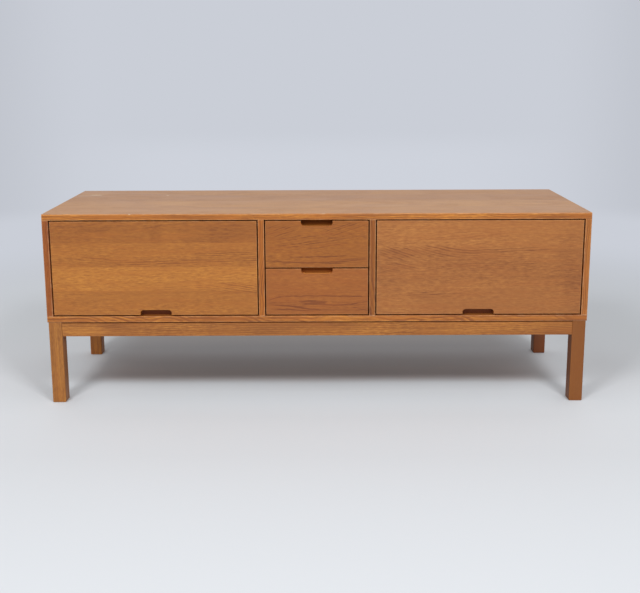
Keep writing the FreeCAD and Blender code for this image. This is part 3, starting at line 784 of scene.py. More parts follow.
@dataclass(frozen=True)
class Polymer:
    """A moulded bearing plastic, slightly mottled."""

    colour: Colour
    roughness: float = 0.45

    GRAIN_WAVES, SOIL_WAVES = 1500, 120
    SOIL_SPAN = (0.3, 0.62)
    SOIL_SHARE, SOIL_ROUGH = 0.7, 0.2
    BUMP_DEPTH = 0.00002

    def material(self, name: str) -> bpy.types.Material:
        """The finish as a material of that name."""
        s = Surface(name)
        grainy, soiled = s.speckle(self.GRAIN_WAVES, 2.0), s.speckle(self.SOIL_WAVES)
        dark = tuple(part * self.SOIL_SHARE for part in self.colour)
        colour = s.tint(soiled, list(zip(self.SOIL_SPAN, (dark, self.colour))))
        rough = (soiled - 0.5) * self.SOIL_ROUGH + self.roughness
        return s.finish(colour, rough, grainy, bump_depth=self.BUMP_DEPTH)


# Finishes

OAK_DOOR = Wood(screen(172, 111, 58), Grain.WIDE_FRONT, cloud=0.18, dash=1.15, wear=0.6)
LEFT_DOOR = replace(
    OAK_DOOR,
    leaves=Leaves(0.272, 0.0725, (0.02, 0.20, 0.0, -0.17)),
    figure=Figure(ring=0.0046, heart_depth=0.03, heart_rise=0.028, strength=0.16, wander=0.02),
    patches=(
        Patch((-0.72, 0.520), (0.13, 0.05), -0.08),
        Patch((-0.75, 0.370), (0.05, 0.02), -0.08),
        Patch((-0.470, 0.515), (0.022, 0.05), -0.10),
        Patch((-0.43, 0.50), (0.05, 0.03), 0.07),
        Patch((-0.26, 0.525), (0.10, 0.045), -0.12),
        Patch((-0.60, 0.50), (0.09, 0.02), 0.06),
    ),
    flames=(
        Flame((-0.235, 0.352), (0.12, 0.020), 0.0066, -0.16, 0.0, 0.85, 1.0),
        Flame((-0.40, 0.350), (0.10, 0.010), 0.0060, 0.05, 0.0, 0.45, 2.0),
        Flame((-0.47, 0.432), (0.16, 0.018), 0.0068, 0.03, 0.0, 0.75, 3.0),
        Flame((-0.25, 0.445), (0.14, 0.030), 0.0062, 0.02, 0.0, 0.60, 4.0),
        Flame((-0.66, 0.435), (0.12, 0.016), 0.0080, -0.10, 0.0, 0.45, 5.0),
    ),
    shift=2.3,
)
RIGHT_DOOR = replace(
    OAK_DOOR,
    colour=screen(167, 109, 64),
    leaves=Leaves(0.205, 0.087, (0.0, 0.0, 0.02, 0.10)),
    figure=Figure(ring=0.0048, heart_depth=0.07, heart_rise=0.01, strength=0.06, wander=0.01),
    patches=(
        Patch((0.70, 0.38), (0.12, 0.07), -0.05),
        Patch((0.24, 0.30), (0.10, 0.03), 0.06),
        Patch((0.40, 0.515), (0.22, 0.04), 0.06),
        Patch((0.29, 0.463), (0.012, 0.006), -0.12),
        Patch((0.45, 0.405), (0.34, 0.045), -0.12),
        Patch((0.75, 0.44), (0.07, 0.13), -0.14),
        Patch((0.77, 0.34), (0.06, 0.09), -0.12),
        Patch((0.21, 0.43), (0.06, 0.13), -0.10),
    ),
    flames=(
        Flame((0.355, 0.461), (0.15, 0.021), 0.0074, -0.24, 0.9, 1.0, 1.0),
        Flame((0.235, 0.455), (0.060, 0.026), 0.0076, -0.36, 0.0, 0.85, 2.0),
        Flame((0.55, 0.466), (0.16, 0.012), 0.0070, 0.04, 0.0, 0.70, 3.0),
        Flame((0.50, 0.43), (0.20, 0.030), 0.0062, 0.03, 0.0, 0.45, 4.0),
        Flame((0.24, 0.415), (0.07, 0.016), 0.0066, -0.22, 0.0, 0.50, 5.0),
        Flame((0.35, 0.330), (0.11, 0.014), 0.0080, 0.03, 0.0, 0.50, 6.0),
        Flame((0.45, 0.51), (0.14, 0.03), 0.0080, 0.10, 0.0, 0.35, 7.0),
    ),
    shift=7.9,
)
UPPER_DRAWER = replace(
    OAK_DOOR,
    colour=screen(160, 100, 53),
    figure=Figure(
        ring=0.0062, heart_depth=0.05, heart_across=0.60, heart_rise=0.02, wander=0.05, strength=0.08
    ),
    flames=(
        Flame((0.085, 0.527), (0.085, 0.028), 0.0064, 0.33, 0.0, 0.65, 1.0),
        Flame((-0.110, 0.522), (0.065, 0.024), 0.0064, 0.34, 0.0, 0.60, 2.0),
        Flame((-0.02, 0.490), (0.13, 0.024), 0.0074, 0.16, 0.0, 0.55, 3.0),
        Flame((0.0, 0.4345), (0.17, 0.014), 0.0062, 0.01, 0.35, 0.45, 4.0),
    ),
    strokes=(
        Stroke((0.012, 0.4464), 0.082, 0.02, 0.3, 0.0026, 0.75),
        Stroke((-0.003, 0.4292), 0.175, 0.012, 0.33, 0.0024, 0.60),
        Stroke((-0.047, 0.4287), 0.046, -0.01, 0.3, 0.0030, 0.65),
        Stroke((0.040, 0.4265), 0.036, 0.03, 0.0, 0.0022, 0.50),
        Stroke((0.105, 0.4385), 0.050, 0.06, 0.0, 0.0022, 0.40),
    ),
    shift=1.2,
)
LOWER_DRAWER = replace(
    OAK_DOOR,
    colour=screen(161, 99, 55),
    dash=0.8,
    figure=Figure(
        ring=0.0085, heart_depth=0.02, heart_across=0.22, heart_rise=0.02, wander=0.05, strength=0.06
    ),
    flames=(
        Flame((0.02, 0.292), (0.17, 0.022), 0.0078, -0.05, 0.4, 0.45, 1.0),
        Flame((-0.10, 0.306), (0.06, 0.012), 0.0070, 0.05, 0.0, 0.40, 2.0),
    ),
    strokes=(
        Stroke((0.022, 0.3282), 0.150, -0.006, -0.12, 0.0024, 0.95),
        Stroke((-0.123, 0.3222), 0.026, 0.30, -2.0, 0.0024, 0.70),
        Stroke((-0.028, 0.3125), 0.030, 0.04, 0.0, 0.0030, 0.75),
        Stroke((0.002, 0.3088), 0.026, -0.10, 0.0, 0.0036, 0.95),
        Stroke((-0.014, 0.3045), 0.036, 0.05, 0.0, 0.0024, 0.60),
        Stroke((-0.088, 0.2985), 0.060, -0.08, 0.0, 0.0028, 0.70),
        Stroke((-0.030, 0.2900), 0.050, -0.14, 0.0, 0.0030, 0.75),
        Stroke((-0.075, 0.2865), 0.070, -0.05, 0.0, 0.0026, 0.60),
        Stroke((0.070, 0.3010), 0.060, 0.05, 1.0, 0.0026, 0.55),
        Stroke((0.125, 0.3065), 0.036, 0.20, 0.0, 0.0026, 0.35),
        Stroke((0.130, 0.2880), 0.032, -0.24, 0.0, 0.0026, 0.35),
    ),
    patches=(
        Patch((-0.012, 0.309), (0.045, 0.009), -0.22),
        Patch((0.036, 0.3085), (0.010, 0.004), 0.30),
        Patch((0.0, 0.37), (0.15, 0.025), 0.04),
    ),
    shift=4.6,
)
OAK_TOP = Wood(
    screen(185, 133, 82),
    Grain.WIDE_FLAT,
    Figure(ring=0.005, heart_depth=0.03, heart_rise=0.02, strength=0.14),
    Leaves(-0.235, 0.12, (0.0, 0.06, -0.05, 0.04)),
    hue=0.2,
    roughness=0.38,
    specular=0.62,
    patches=(
        Patch((-0.45, -0.04), (0.12, 0.05), 0.08),
        Patch((0.55, -0.05), (0.25, 0.10), 0.07),
        # Painted sheen: the top grows paler towards its front edge
        Patch((0.10, -0.28), (1.6, 0.32), 0.08),
    ),
    marks=(
        Mark((-0.735, 0.138, 0.575), (0.024, 0.008, 0.002), 0.95),
        Mark((-0.775, 0.125, 0.575), (0.035, 0.006, 0.002), 0.5),
        Mark((-0.495, 0.125, 0.575), (0.005, 0.008, 0.002), 0.8),
    ),
    shift=11.3,
)
OAK_BOTTOM = Wood(
    screen(165, 106, 60),
    Grain.WIDE_FLAT,
    leaves=Leaves(-0.235, 0.12, (0.0, 0.05, -0.04, 0.02)),
    zones=(Zone(screen(112, 98, 86), high=(None, None, 0.2505), share=1.0),),
    shift=5.5,
)
OAK_SIDE = Wood(
    screen(163, 102, 56),
    Grain.TALL_SIDE,
    leaves=Leaves(-0.235, 0.12, (0.02, -0.05, 0.06, 0.0)),
    shift=8.1,
)
OAK_INNER = replace(
    OAK_SIDE, colour=screen(180, 106, 60), leaves=Leaves(-0.235, 0.16, (0.0, 0.05, -0.03)), shift=3.7
)
OAK_SHELF = Wood(
    screen(178, 126, 78), Grain.WIDE_FLAT, leaves=Leaves(-0.175, 0.14, (0.0, 0.06, -0.03)), shift=6.6
)
OAK_EDGE = Wood(
    screen(182, 117, 58),
    Grain.WIDE_FRONT,
    Figure(ring=0.0046, heart_depth=0.05, heart_rise=0.05, strength=0.85, wander=0.03, wander_pitch=0.2),
    streak=1.9,
    streak_pitch=0.006,
    cloud=0.5,
    dash=1.1,
    hue=0.5,
    wear=0.9,
    wear_reach=0.0034,
)
TOP_LIPPING = replace(
    OAK_EDGE,
    colour=screen(188, 121, 60),
    patches=(
        Patch((0.79, 0.566), (0.18, 0.02), -0.32),
        Patch((0.05, 0.566), (0.14, 0.02), -0.15),
        Patch((-0.76, 0.566), (0.12, 0.02), 0.16),
    ),
    marks=(
        Mark((-0.544, -0.2395, 0.5748), (0.004, 0.003, 0.002), 0.9),
        Mark((0.02, -0.2395, 0.5748), (0.006, 0.002, 0.0012), 0.7),
    ),
    shift=1.9,
)
BOTTOM_LIPPING = replace(
    OAK_EDGE,
    colour=screen(181, 115, 58),
    cloud=0.8,
    wear=0.7,
    flames=(
        Flame((-0.56, 0.2615), (0.07, 0.02), 0.0100, -0.28, 0.0, 0.9, 1.0),
        Flame((-0.07, 0.2615), (0.09, 0.02), 0.0100, -0.10, 0.0, 0.8, 2.0),
        Flame((0.39, 0.2615), (0.08, 0.02), 0.0100, 0.10, 0.0, 0.9, 3.0),
    ),
    patches=(
        Patch((0.79, 0.2615), (0.10, 0.02), -0.34),
        Patch((0.24, 0.2615), (0.20, 0.02), -0.09),
        Patch((-0.56, 0.2615), (0.14, 0.02), 0.16),
    ),
    shift=14.2,
)
OAK_RAIL = Wood(
    screen(175, 115, 61),
    Grain.WIDE_FRONT,
    Figure(ring=0.0052, heart_depth=0.04, heart_rise=0.05, strength=0.6, wander=0.03),
    streak=1.2,
    streak_pitch=0.01,
    cloud=1.1,
    dash=1.3,
)
FRONT_RAIL = replace(
    OAK_RAIL,
    patches=(
        Patch((-0.70, 0.2275), (0.09, 0.03), 0.22),
        Patch((0.5, 0.215), (0.2, 0.012), 0.12),
        Patch((0.26, 0.225), (0.12, 0.03), -0.12),
    ),
    shift=4.4,
)
LEFT_LEG = Wood(
    screen(171, 114, 61),
    Grain.TALL_FRONT,
    Figure(ring=0.0026, heart_depth=0.12, heart_rise=0.02, strength=0.3, wander=0.02),
    streak=1.35,
    streak_pitch=0.008,
    dash=0.9,
    fleck=0.55,
    wear=0.15,
)
RIGHT_LEG = replace(
    LEFT_LEG,
    colour=screen(142, 89, 47),
    figure=replace(LEFT_LEG.figure, strength=0.08),
    streak=0.2,
    streak_pitch=0.03,
    dash=0.3,
    fleck=0.05,
)
BEECH = Wood(
    screen(205, 163, 116),
    Grain.DEEP_SIDE,
    Figure(ring=0.004, heart_depth=0.05, strength=0.1),
    fibre=0.1,
    streak=0.16,
    pore=0.06,
    fleck=0.12,
    roughness=0.55,
    wear=0.1,
)
PLYWOOD = Wood(
    screen(190, 146, 98),
    Grain.WIDE_FRONT,
    Figure(ring=0.009, heart_depth=0.05, heart_rise=0.03, strength=0.2, wander=0.06),
    Leaves(0.25, 0.16, (0.0, 0.08)),
    roughness=0.6,
    wear=0.0,
)
STEEL = Metal(screen(176, 176, 172), 0.34)
DARK_STEEL = Metal(screen(74, 62, 52), 0.4)
BRASS = Metal(screen(206, 168, 96), 0.3)
BUSH = Polymer(screen(62, 44, 32))

# Painted shade and painted light on wood: in the gaps round the fronts, on cut edges, in the grips, under
# the carcass and on faces turned from the lamps
GAP_BROWN = screen(124, 52, 22)
RIM_BROWN = screen(132, 58, 26)
RIM_SKIN, RIM_REAR_SKIN = 0.0008, 0.001
FINGERED = screen(116, 62, 38)
HANDLED, CLEAN, SILL = screen(128, 68, 28), screen(196, 116, 56), screen(214, 140, 70)
GRIME = screen(66, 24, 8)
SHADED_LEFT, SHADED_RIGHT = screen(130, 79, 44), screen(100, 58, 36)


# Turned fittings that repeat

@dataclass(frozen=True)
class Seat:
    """Where a repeated fitting sits: the middle of its outer end, and the way that end looks."""

    place: Vector
    way: Vector


def solids_of(node: str) -> list[np.ndarray]:
    """The corners of each separate solid of a CAD node.

    Args:
        node: the node's name.

    Returns:
        One array of places for each solid, in the order of their places.
    """
    copy = bmesh.new()
    copy.from_mesh(bpy.data.objects[node].data)
    bmesh.ops.remove_doubles(copy, verts=copy.verts, dist=1e-6)
    left, solids = set(copy.verts), []
    while left:
        queue, found = [left.pop()], []
        while queue:
            corner = queue.pop()
            found.append(tuple(corner.co))
            for edge in corner.link_edges:
                other = edge.other_vert(corner)
                if other in left:
                    left.remove(other)
                    queue.append(other)
        solids.append(np.array(found))
    copy.free()
    return sorted(solids, key=lambda corners: tuple(np.round(corners.mean(0), 4)))


def seat_of(corners: np.ndarray, towards: Vector | None = None, axis: int | None = None) -> Seat:
    """The seat of one round solid.

    Args:
        corners: the solid's corners.
        towards: a point that its outer end looks to; without one, the outer end is the wider.
        axis: the number of its axis, if that isn't its longest side.

    Returns:
        The seat at the end of its axis.
    """
    low, high = corners.min(0), corners.max(0)
    if axis is None:
        axis = int(np.argmax(high - low))
    middle = (low + high) / 2
    wide = np.hypot(*np.delete(corners - middle, axis, axis=1).T)
    upper = corners[:, axis] > middle[axis]
    if towards is None:
        sign = 1 if wide[upper].max() > wide[~upper].max() else -1
    else:
        sign = 1 if towards[axis] > middle[axis] else -1
    place, way = Vector(middle), Vector((0, 0, 0))
    place[axis] = high[axis] if sign > 0 else low[axis]
    way[axis] = sign
    return Seat(place, way)


@dataclass(frozen=True)
class Turned:
    """A turned shape: named stations down from its outer end, as (depth, radius) in metres."""

    stations: dict[str, tuple[float, float]]
    sides: int = 28
    flute: float = 0.0
    slot: Triple | None = None
    bore: tuple[float, float] | None = None


class FittingTree(Graph):
    """A Geometry Nodes tree that sets one turned shape on every seat."""

    LINE_STEP = (0.0, 0.0, -0.001)

    def __init__(self, name: str, shape: Turned, seed: int) -> None:
        """Args: name, the tree's; shape, what it repeats; seed, which settles how each is spun."""
        super().__init__(bpy.data.node_groups.new(name, "GeometryNodeTree"))
        self.shape = shape
        self.values: dict[str, object] = {}
        face = self.tree.interface
        face.new_socket("Geometry", in_out="OUTPUT", socket_type="NodeSocketGeometry")
        face.new_socket("Seats", in_out="INPUT", socket_type="NodeSocketGeometry")
        self.declare("Material", "NodeSocketMaterial", None)
        self.declare("Seed", "NodeSocketInt", seed)
        for station, (depth, radius) in shape.stations.items():
            self.declare(f"{station} depth", "NodeSocketFloat", depth)
            self.declare(f"{station} radius", "NodeSocketFloat", radius)
        if shape.slot:
            self.declare("Slot size", "NodeSocketVector", shape.slot)
        if shape.bore:
            self.declare("Bore radius", "NodeSocketFloat", shape.bore[0])
            self.declare("Bore depth", "NodeSocketFloat", shape.bore[1])
        self.given = self.add("NodeGroupInput").outputs
        self.lay_out()

    def declare(self, name: str, kind: str, value: object) -> None:
        """Adds a named input with the value that it gets."""
        self.tree.interface.new_socket(name, in_out="INPUT", socket_type=kind)
        if value is not None:
            self.values[name] = value

    def along(self, what: str) -> bpy.types.NodeSocket:
        """A size of each station by its number: its depth or its radius."""
        count = len(self.shape.stations)
        node = self.add("GeometryNodeIndexSwitch", data_type="FLOAT")
        while len(node.index_switch_items) < count:
            node.index_switch_items.new()
        self.feed(node.inputs[0], self.add("GeometryNodeInputIndex").outputs[0])
        for i, station in enumerate(self.shape.stations):
            self.feed(node.inputs[i + 1], self.given[f"{station} {what}"])
        return node.outputs[0]

    def turned(self) -> bpy.types.NodeSocket:
        """The one shape, its outer end at the origin and looking up."""
        shape = self.shape
        line = self.add("GeometryNodeMeshLine", {"Count": len(shape.stations), "Offset": self.LINE_STEP})
        down = self.math("MULTIPLY", self.along("depth"), -1.0)
        placed = self.add(
            "GeometryNodeSetPosition", {"Geometry": line.outputs[0], "Position": self.triple(0.0, 0.0, down)}
        )
        curve = self.add("GeometryNodeMeshToCurve", {"Mesh": placed.outputs[0]})
        circle = self.add("GeometryNodeCurvePrimitiveCircle", {"Resolution": shape.sides, "Radius": 1.0})
        rim = circle.outputs[0]
        if shape.flute:
            index = Level(self, self.add("GeometryNodeInputIndex").outputs[0])
            drawn_in = (index * 0.5).rest().above(0.25) * shape.flute
            place = self.add("GeometryNodeInputPosition").outputs[0]
            inward = self.add(
                "ShaderNodeVectorMath", {0: place, 3: drawn_in * -1.0}, operation="SCALE"
            ).outputs[0]
            rim = self.add("GeometryNodeSetPosition", {"Geometry": rim, "Offset": inward}).outputs[0]
        body = self.add(
            "GeometryNodeCurveToMesh",
            {
                "Curve": curve.outputs[0],
                "Profile Curve": rim,
                "Scale": self.along("radius"),
                "Fill Caps": True,
            },
        ).outputs[0]
        cutters = []
        if shape.slot:
            cutters.append(self.add("GeometryNodeMeshCube", {"Size": self.given["Slot size"]}).outputs[0])
        if shape.bore:
            depth = Level(self, self.given["Bore depth"])
            drill = self.add(
                "GeometryNodeMeshCylinder",
                {"Vertices": shape.sides, "Radius": self.given["Bore radius"], "Depth": depth * 2.0},
            )
            cutters.append(drill.outputs[0])
        for cutter in cutters:
            cut = self.add("GeometryNodeMeshBoolean", operation="DIFFERENCE", solver="EXACT")
            self.feed(cut.inputs["Mesh 1"], body)
            self.feed(cut.inputs["Mesh 2"], cutter)
            body = cut.outputs[0]
        return body

    def lay_out(self) -> None:
        """Sets the shape on the seats, turned their way and spun by chance."""
        way = self.add("GeometryNodeInputNamedAttribute", {"Name": "way"}, data_type="FLOAT_VECTOR")
        turn = self.add("FunctionNodeAlignRotationToVector", {"Vector": way.outputs[0]}, axis="Z")
        spin = self.add(
            "FunctionNodeRandomValue", {3: math.pi, "Seed": self.given["Seed"]}, data_type="FLOAT"
        )
        about = self.add(
            "FunctionNodeAxisAngleToRotation", {"Axis": (0.0, 0.0, 1.0), "Angle": spin.outputs[1]}
        )
        whole_turn = self.add(
            "FunctionNodeRotateRotation",
            {"Rotation": turn.outputs[0], "Rotate By": about.outputs[0]},
            rotation_space="LOCAL",
        )
        laid = self.add(
            "GeometryNodeInstanceOnPoints",
            {"Points": self.given["Seats"], "Instance": self.turned(), "Rotation": whole_turn.outputs[0]},
        )
        real = self.add("GeometryNodeRealizeInstances", {"Geometry": laid.outputs[0]})
        dressed = self.add(
            "GeometryNodeSetMaterial", {"Geometry": real.outputs[0], "Material": self.given["Material"]}
        )
        self.add("NodeGroupOutput", {0: dressed.outputs[0]})


@dataclass(frozen=True)
class FittingSet:
    """Like fittings of one body, made by one tree from their seats."""

    name: str
    body: str
    slot: str
    nodes: tuple[str, ...]
    shape: Turned
    seats: tuple[Seat, ...]
    seed: int = 1

    def build(self, material: bpy.types.Material) -> bpy.types.Object:
        """The fittings as one plain mesh that stands for their CAD nodes.

        Args:
            material: their finish.

        Returns:
            The new piece.
        """
        points = bpy.data.meshes.new(self.name + "_seats")
        points.from_pydata([seat.place for seat in self.seats], [], [])
        ways = points.attributes.new("way", "FLOAT_VECTOR", "POINT")
        ways.data.foreach_set("vector", [part for seat in self.seats for part in seat.way])
        holder = bpy.data.objects.new(self.name + "_seats", points)
        bpy.context.scene.collection.objects.link(holder)
        fitting = FittingTree(self.name + "_tree", self.shape, self.seed)
        modifier = holder.modifiers.new("fittings", "NODES")
        modifier.node_group = fitting.tree
        values = {**fitting.values, "Material": material}
        for item in fitting.tree.interface.items_tree:
            if item.in_out == "INPUT" and item.name in values:
                modifier[item.identifier] = values[item.name]
        ready = holder.evaluated_get(bpy.context.evaluated_depsgraph_get())
        mesh = bpy.data.meshes.new_from_object(ready)
        holder.modifiers.remove(modifier)
        bpy.data.objects.remove(holder)
        mesh.name = self.name
        mesh.shade_smooth()
        mesh.set_sharp_from_angle(angle=math.radians(SHARP_DEGREES))
        piece = bpy.data.objects.new(self.name, mesh)
        bpy.context.scene.collection.objects.link(piece)
        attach(piece, self.body)
        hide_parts(*self.nodes)
        log.info("%s: %d fittings, %d faces", self.name, len(self.seats), len(mesh.polygons))
        return piece


@dataclass(frozen=True)
class Screw:
    """A countersunk screw with a slotted head, its shank narrowing to a point; sizes in metres."""

    length: float
    radius: float
    head_radius: float
    head_height: float

    RIM_DEPTH, FACE_INSET = 0.00015, 0.0002
    SHOULDER_AT, SHOULDER_SHARE, POINT_SHARE = 0.8, 0.92, 0.2
    SLOT_SHARES = (3, 0.24, 0.9)

    def shape(self) -> Turned:
        """The screw as a turned shape."""
        long, wide, deep = self.SLOT_SHARES
        return Turned(
            {
                "Face": (0.0, self.head_radius - self.FACE_INSET),
                "Rim": (self.RIM_DEPTH, self.head_radius),
                "Neck": (self.head_height, self.radius),
                "Shoulder": (self.length * self.SHOULDER_AT, self.radius * self.SHOULDER_SHARE),
                "Point": (self.length, self.radius * self.POINT_SHARE),
            },
            slot=(self.head_radius * long, self.head_radius * wide, self.head_height * deep),
        )


WOOD_SCREW = Screw(0.016, 0.00175, 0.0035, 0.002)
# How far apart two stations of a square step lie
STEP = 0.00002


@dataclass
class Sideboard:
    """What every sub-assembly shares: its nodes' finishes and how they are laid on."""

    finishes: dict[str, bpy.types.Material] = field(default_factory=dict)

    def dress(self, node: str, wood: Wood, slot: str) -> None:
        """Lays a wood finish on a CAD node, cut to its own box.

        Args:
            node: the CAD node.
            wood: the finish.
            slot: the record's material slot for it; not used.
        """
        self.coat(node, wood.material(f"{node}_wood", Board.of(node)), slot)

    def coat(self, node: str, material: bpy.types.Material, slot: str) -> None:
        """Puts one material on a CAD node."""
        piece = bpy.data.objects[node]
        piece.data.materials.clear()
        piece.data.materials.append(material)
        log.info("%s dressed with %s", node, material.name)

    def metal(self, finish: Metal | Polymer, name: str) -> bpy.types.Material:
        """A shared finish, made once."""
        if name not in self.finishes:
            self.finishes[name] = finish.material(name)
        return self.finishes[name]

    def fit(
        self,
        name: str,
        node: str,
        slot: str,
        shape: Turned,
        material: bpy.types.Material,
        seed: int = 1,
        body: str = "carcass",
        seat: Callable[[np.ndarray], Seat] | None = None,
    ) -> None:
        """Makes the fittings that stand for the solids of one CAD node.

        Args:
            name: the new piece's name.
            node: the CAD node.
            slot: the record's material slot; not used.
            shape: what each fitting is turned to.
            material: their finish.
            seed: what settles how each is spun.
            body: the body that they ride on.
            seat: how a solid's corners give its seat, if not by its longest side and wider end.
        """
        seats = tuple((seat or seat_of)(corners) for corners in solids_of(node))
        FittingSet(name, body, slot, (node,), shape, seats, seed).build(material)

    def screws(self, name: str, node: str, screw: Screw, seed: int, body: str = "carcass") -> None:
        """Makes the steel screws that stand for the solids of one CAD node."""
        self.fit(name, node, "steel", screw.shape(), self.metal(STEEL, "steel"), seed, body)


@dataclass
class Carcass(Sideboard):
    """The boards, their front edges, the back, and the dowels and screws in them."""

    gap_skin: float = 0.0012
    front_skin: float = 0.0009
    dowel_radius: float = 0.004
    dowel_length: float = 0.034
    dowel_bevel: float = 0.0012
    dowel_sides: int = 32
    dowel_flute: float = 0.07
    back_screw: Screw = Screw(0.018, 0.0015, 0.003, 0.0018)

    def build(self) -> None:
        """Dresses the boards and makes their fasteners."""
        for node, wood in (
            ("bottom_panel", OAK_BOTTOM),
            ("left_side_panel", OAK_SIDE),
            ("right_side_panel", replace(OAK_SIDE, shift=12.9)),
            ("left_divider", OAK_INNER),
            ("right_divider", replace(OAK_INNER, shift=9.2)),
        ):
            self.dress(node, wood, "oak_veneer")
        self.dress("top_panel", OAK_TOP, "oak_top")
        self.dress("back_panel", PLYWOOD, "back_board")
        self.edges()
        self.dowels()
        self.screws("back_screws", "back_panel_screws", self.back_screw, 3)

    def edges(self) -> None:
        """Dresses the solid edges, each with its own stretch of grain."""
        tall = replace(OAK_EDGE, grain=Grain.TALL_FRONT, streak=0.5, dash=0.6)
        for node, wood, sides in (
            ("top_front_lipping", TOP_LIPPING, "z-"),
            ("bottom_front_lipping", BOTTOM_LIPPING, "z+"),
            ("left_side_lipping", replace(tall, colour=screen(157, 92, 42), shift=3.3), "x+"),
            ("left_divider_lipping", replace(tall, colour=screen(178, 109, 51), shift=5.7), "x-x+"),
            ("right_divider_lipping", replace(tall, colour=screen(155, 96, 50), shift=8.8), "x-x+"),
            ("right_side_lipping", replace(tall, colour=screen(181, 116, 60), shift=10.4), "x-"),
        ):
            gaps = self.gap_sides(Board.of(node), sides)
            self.dress(node, replace(wood, zones=gaps), "oak_solid")

    def gap_sides(self, board: Board, sides: str) -> tuple[Zone, ...]:
        """Painted shade on the faces of an edge that look into the gaps round the fronts: darker, redder and
        duller.

        Args:
            board: the edge.
            sides: those faces, such as x+ for the one towards higher x.

        Returns:
            One zone for each of them.
        """
        found = []
        for axis_name, towards in zip(sides[::2], sides[1::2]):
            axis = "xyz".index(axis_name)
            low, high = [None, board.low[1] + self.front_skin, None], [None, None, None]
            if towards == "+":
                low[axis] = board.high[axis] - self.gap_skin
            else:
                high[axis] = board.low[axis] + self.gap_skin
            found.append(Zone(GAP_BROWN, tuple(low), tuple(high), share=0.55, soft=0.0004, dull=1.5))
        return tuple(found)

    def dowels(self) -> None:
        """The fluted dowels in the joints of the boards."""
        radius, length, bevel = self.dowel_radius, self.dowel_length, self.dowel_bevel
        shape = Turned(
            {
                "End": (0.0, radius - bevel),
                "Shoulder": (bevel, radius),
                "Foot shoulder": (length - bevel, radius),
                "Foot": (length, radius - bevel),
            },
            sides=self.dowel_sides,
            flute=self.dowel_flute,
        )
        wood = replace(BEECH, grain=Grain.TALL_FRONT).material("dowel_beech", Board.of("carcass_dowels"))
        up = partial(seat_of, towards=Vector((0, 0, FAR)))
        self.fit("fluted_dowels", "carcass_dowels", "beech", shape, wood, seat=up)


@dataclass
class LegFrame(Sideboard):
    """The legs, the rails between them, and the blocks and screws in their corners."""

    frame_screw: Screw = Screw(0.038, 0.00225, 0.0045, 0.0027)
    # Painted shade: the rear legs' colour is turned down by these shares
    rear_shares: Triple = (0.88, 0.78, 0.70)
    grime_height: float = 0.004
    shoulder_width: float = 0.0015
    inner_skin: float = 0.0005
    first_shift: float = 2.1
    shift_step: float = 3.7

    def build(self) -> None:
        """Dresses the frame and makes its screws."""
        for i, (end, side) in enumerate((e, s) for e in ("front", "rear") for s in ("left", "right")):
            self.leg(f"{end}_{side}_leg", end, side, self.first_shift + self.shift_step * i)
        front = Board.of("front_apron")
        left, right = front.low[0] + self.shoulder_width, front.high[0] - self.shoulder_width
        # Painted shade on the front apron: a shadow line along its top under the carcass, and shade at its
        # ends where it meets the legs
        zones = (
            Zone(GRIME, low=(None, None, front.high[2] - self.grime_height), share=0.75, soft=0.001),
            Zone(SHADED_LEFT, high=(left, None, None), share=0.6, soft=0.0008),
            Zone(SHADED_RIGHT, low=(right, None, None), share=0.6, soft=0.0008),
        )
        deep = replace(OAK_RAIL, grain=Grain.DEEP_SIDE)
        for node, wood in (
            ("front_apron", replace(FRONT_RAIL, zones=zones)),
            ("rear_apron", replace(OAK_RAIL, shift=9.9)),
            ("left_apron", replace(deep, shift=6.1)),
            ("right_apron", replace(deep, shift=1.6)),
        ):
            self.dress(node, wood, "oak_solid")
        self.dress("corner_blocks", replace(BEECH, grain=Grain.WIDE_FLAT, shift=2.2), "beech")
        self.screws("corner_screws", "frame_screws", self.frame_screw, 5)

    def leg(self, node: str, end: str, side: str, shift: float) -> None:
        """Dresses one leg, with painted shade on its face towards the other side, and a rear leg's colour
        turned down as painted shade.

        Args:
            node: the leg's CAD node.
            end: front or rear.
            side: left or right.
            shift: where its grain starts.
        """
        board = Board.of(node)
        if side == "left":
            wood = LEFT_LEG
            inner = Zone(SHADED_LEFT, low=(board.high[0] - self.inner_skin, None, None), share=0.7)
        else:
            wood = RIGHT_LEG
            inner = Zone(SHADED_RIGHT, high=(board.low[0] + self.inner_skin, None, None), share=0.75)
        colour = shaded(wood.colour, self.rear_shares) if end == "rear" else wood.colour
        self.dress(node, replace(wood, colour=colour, zones=(inner,), shift=shift), "oak_solid")


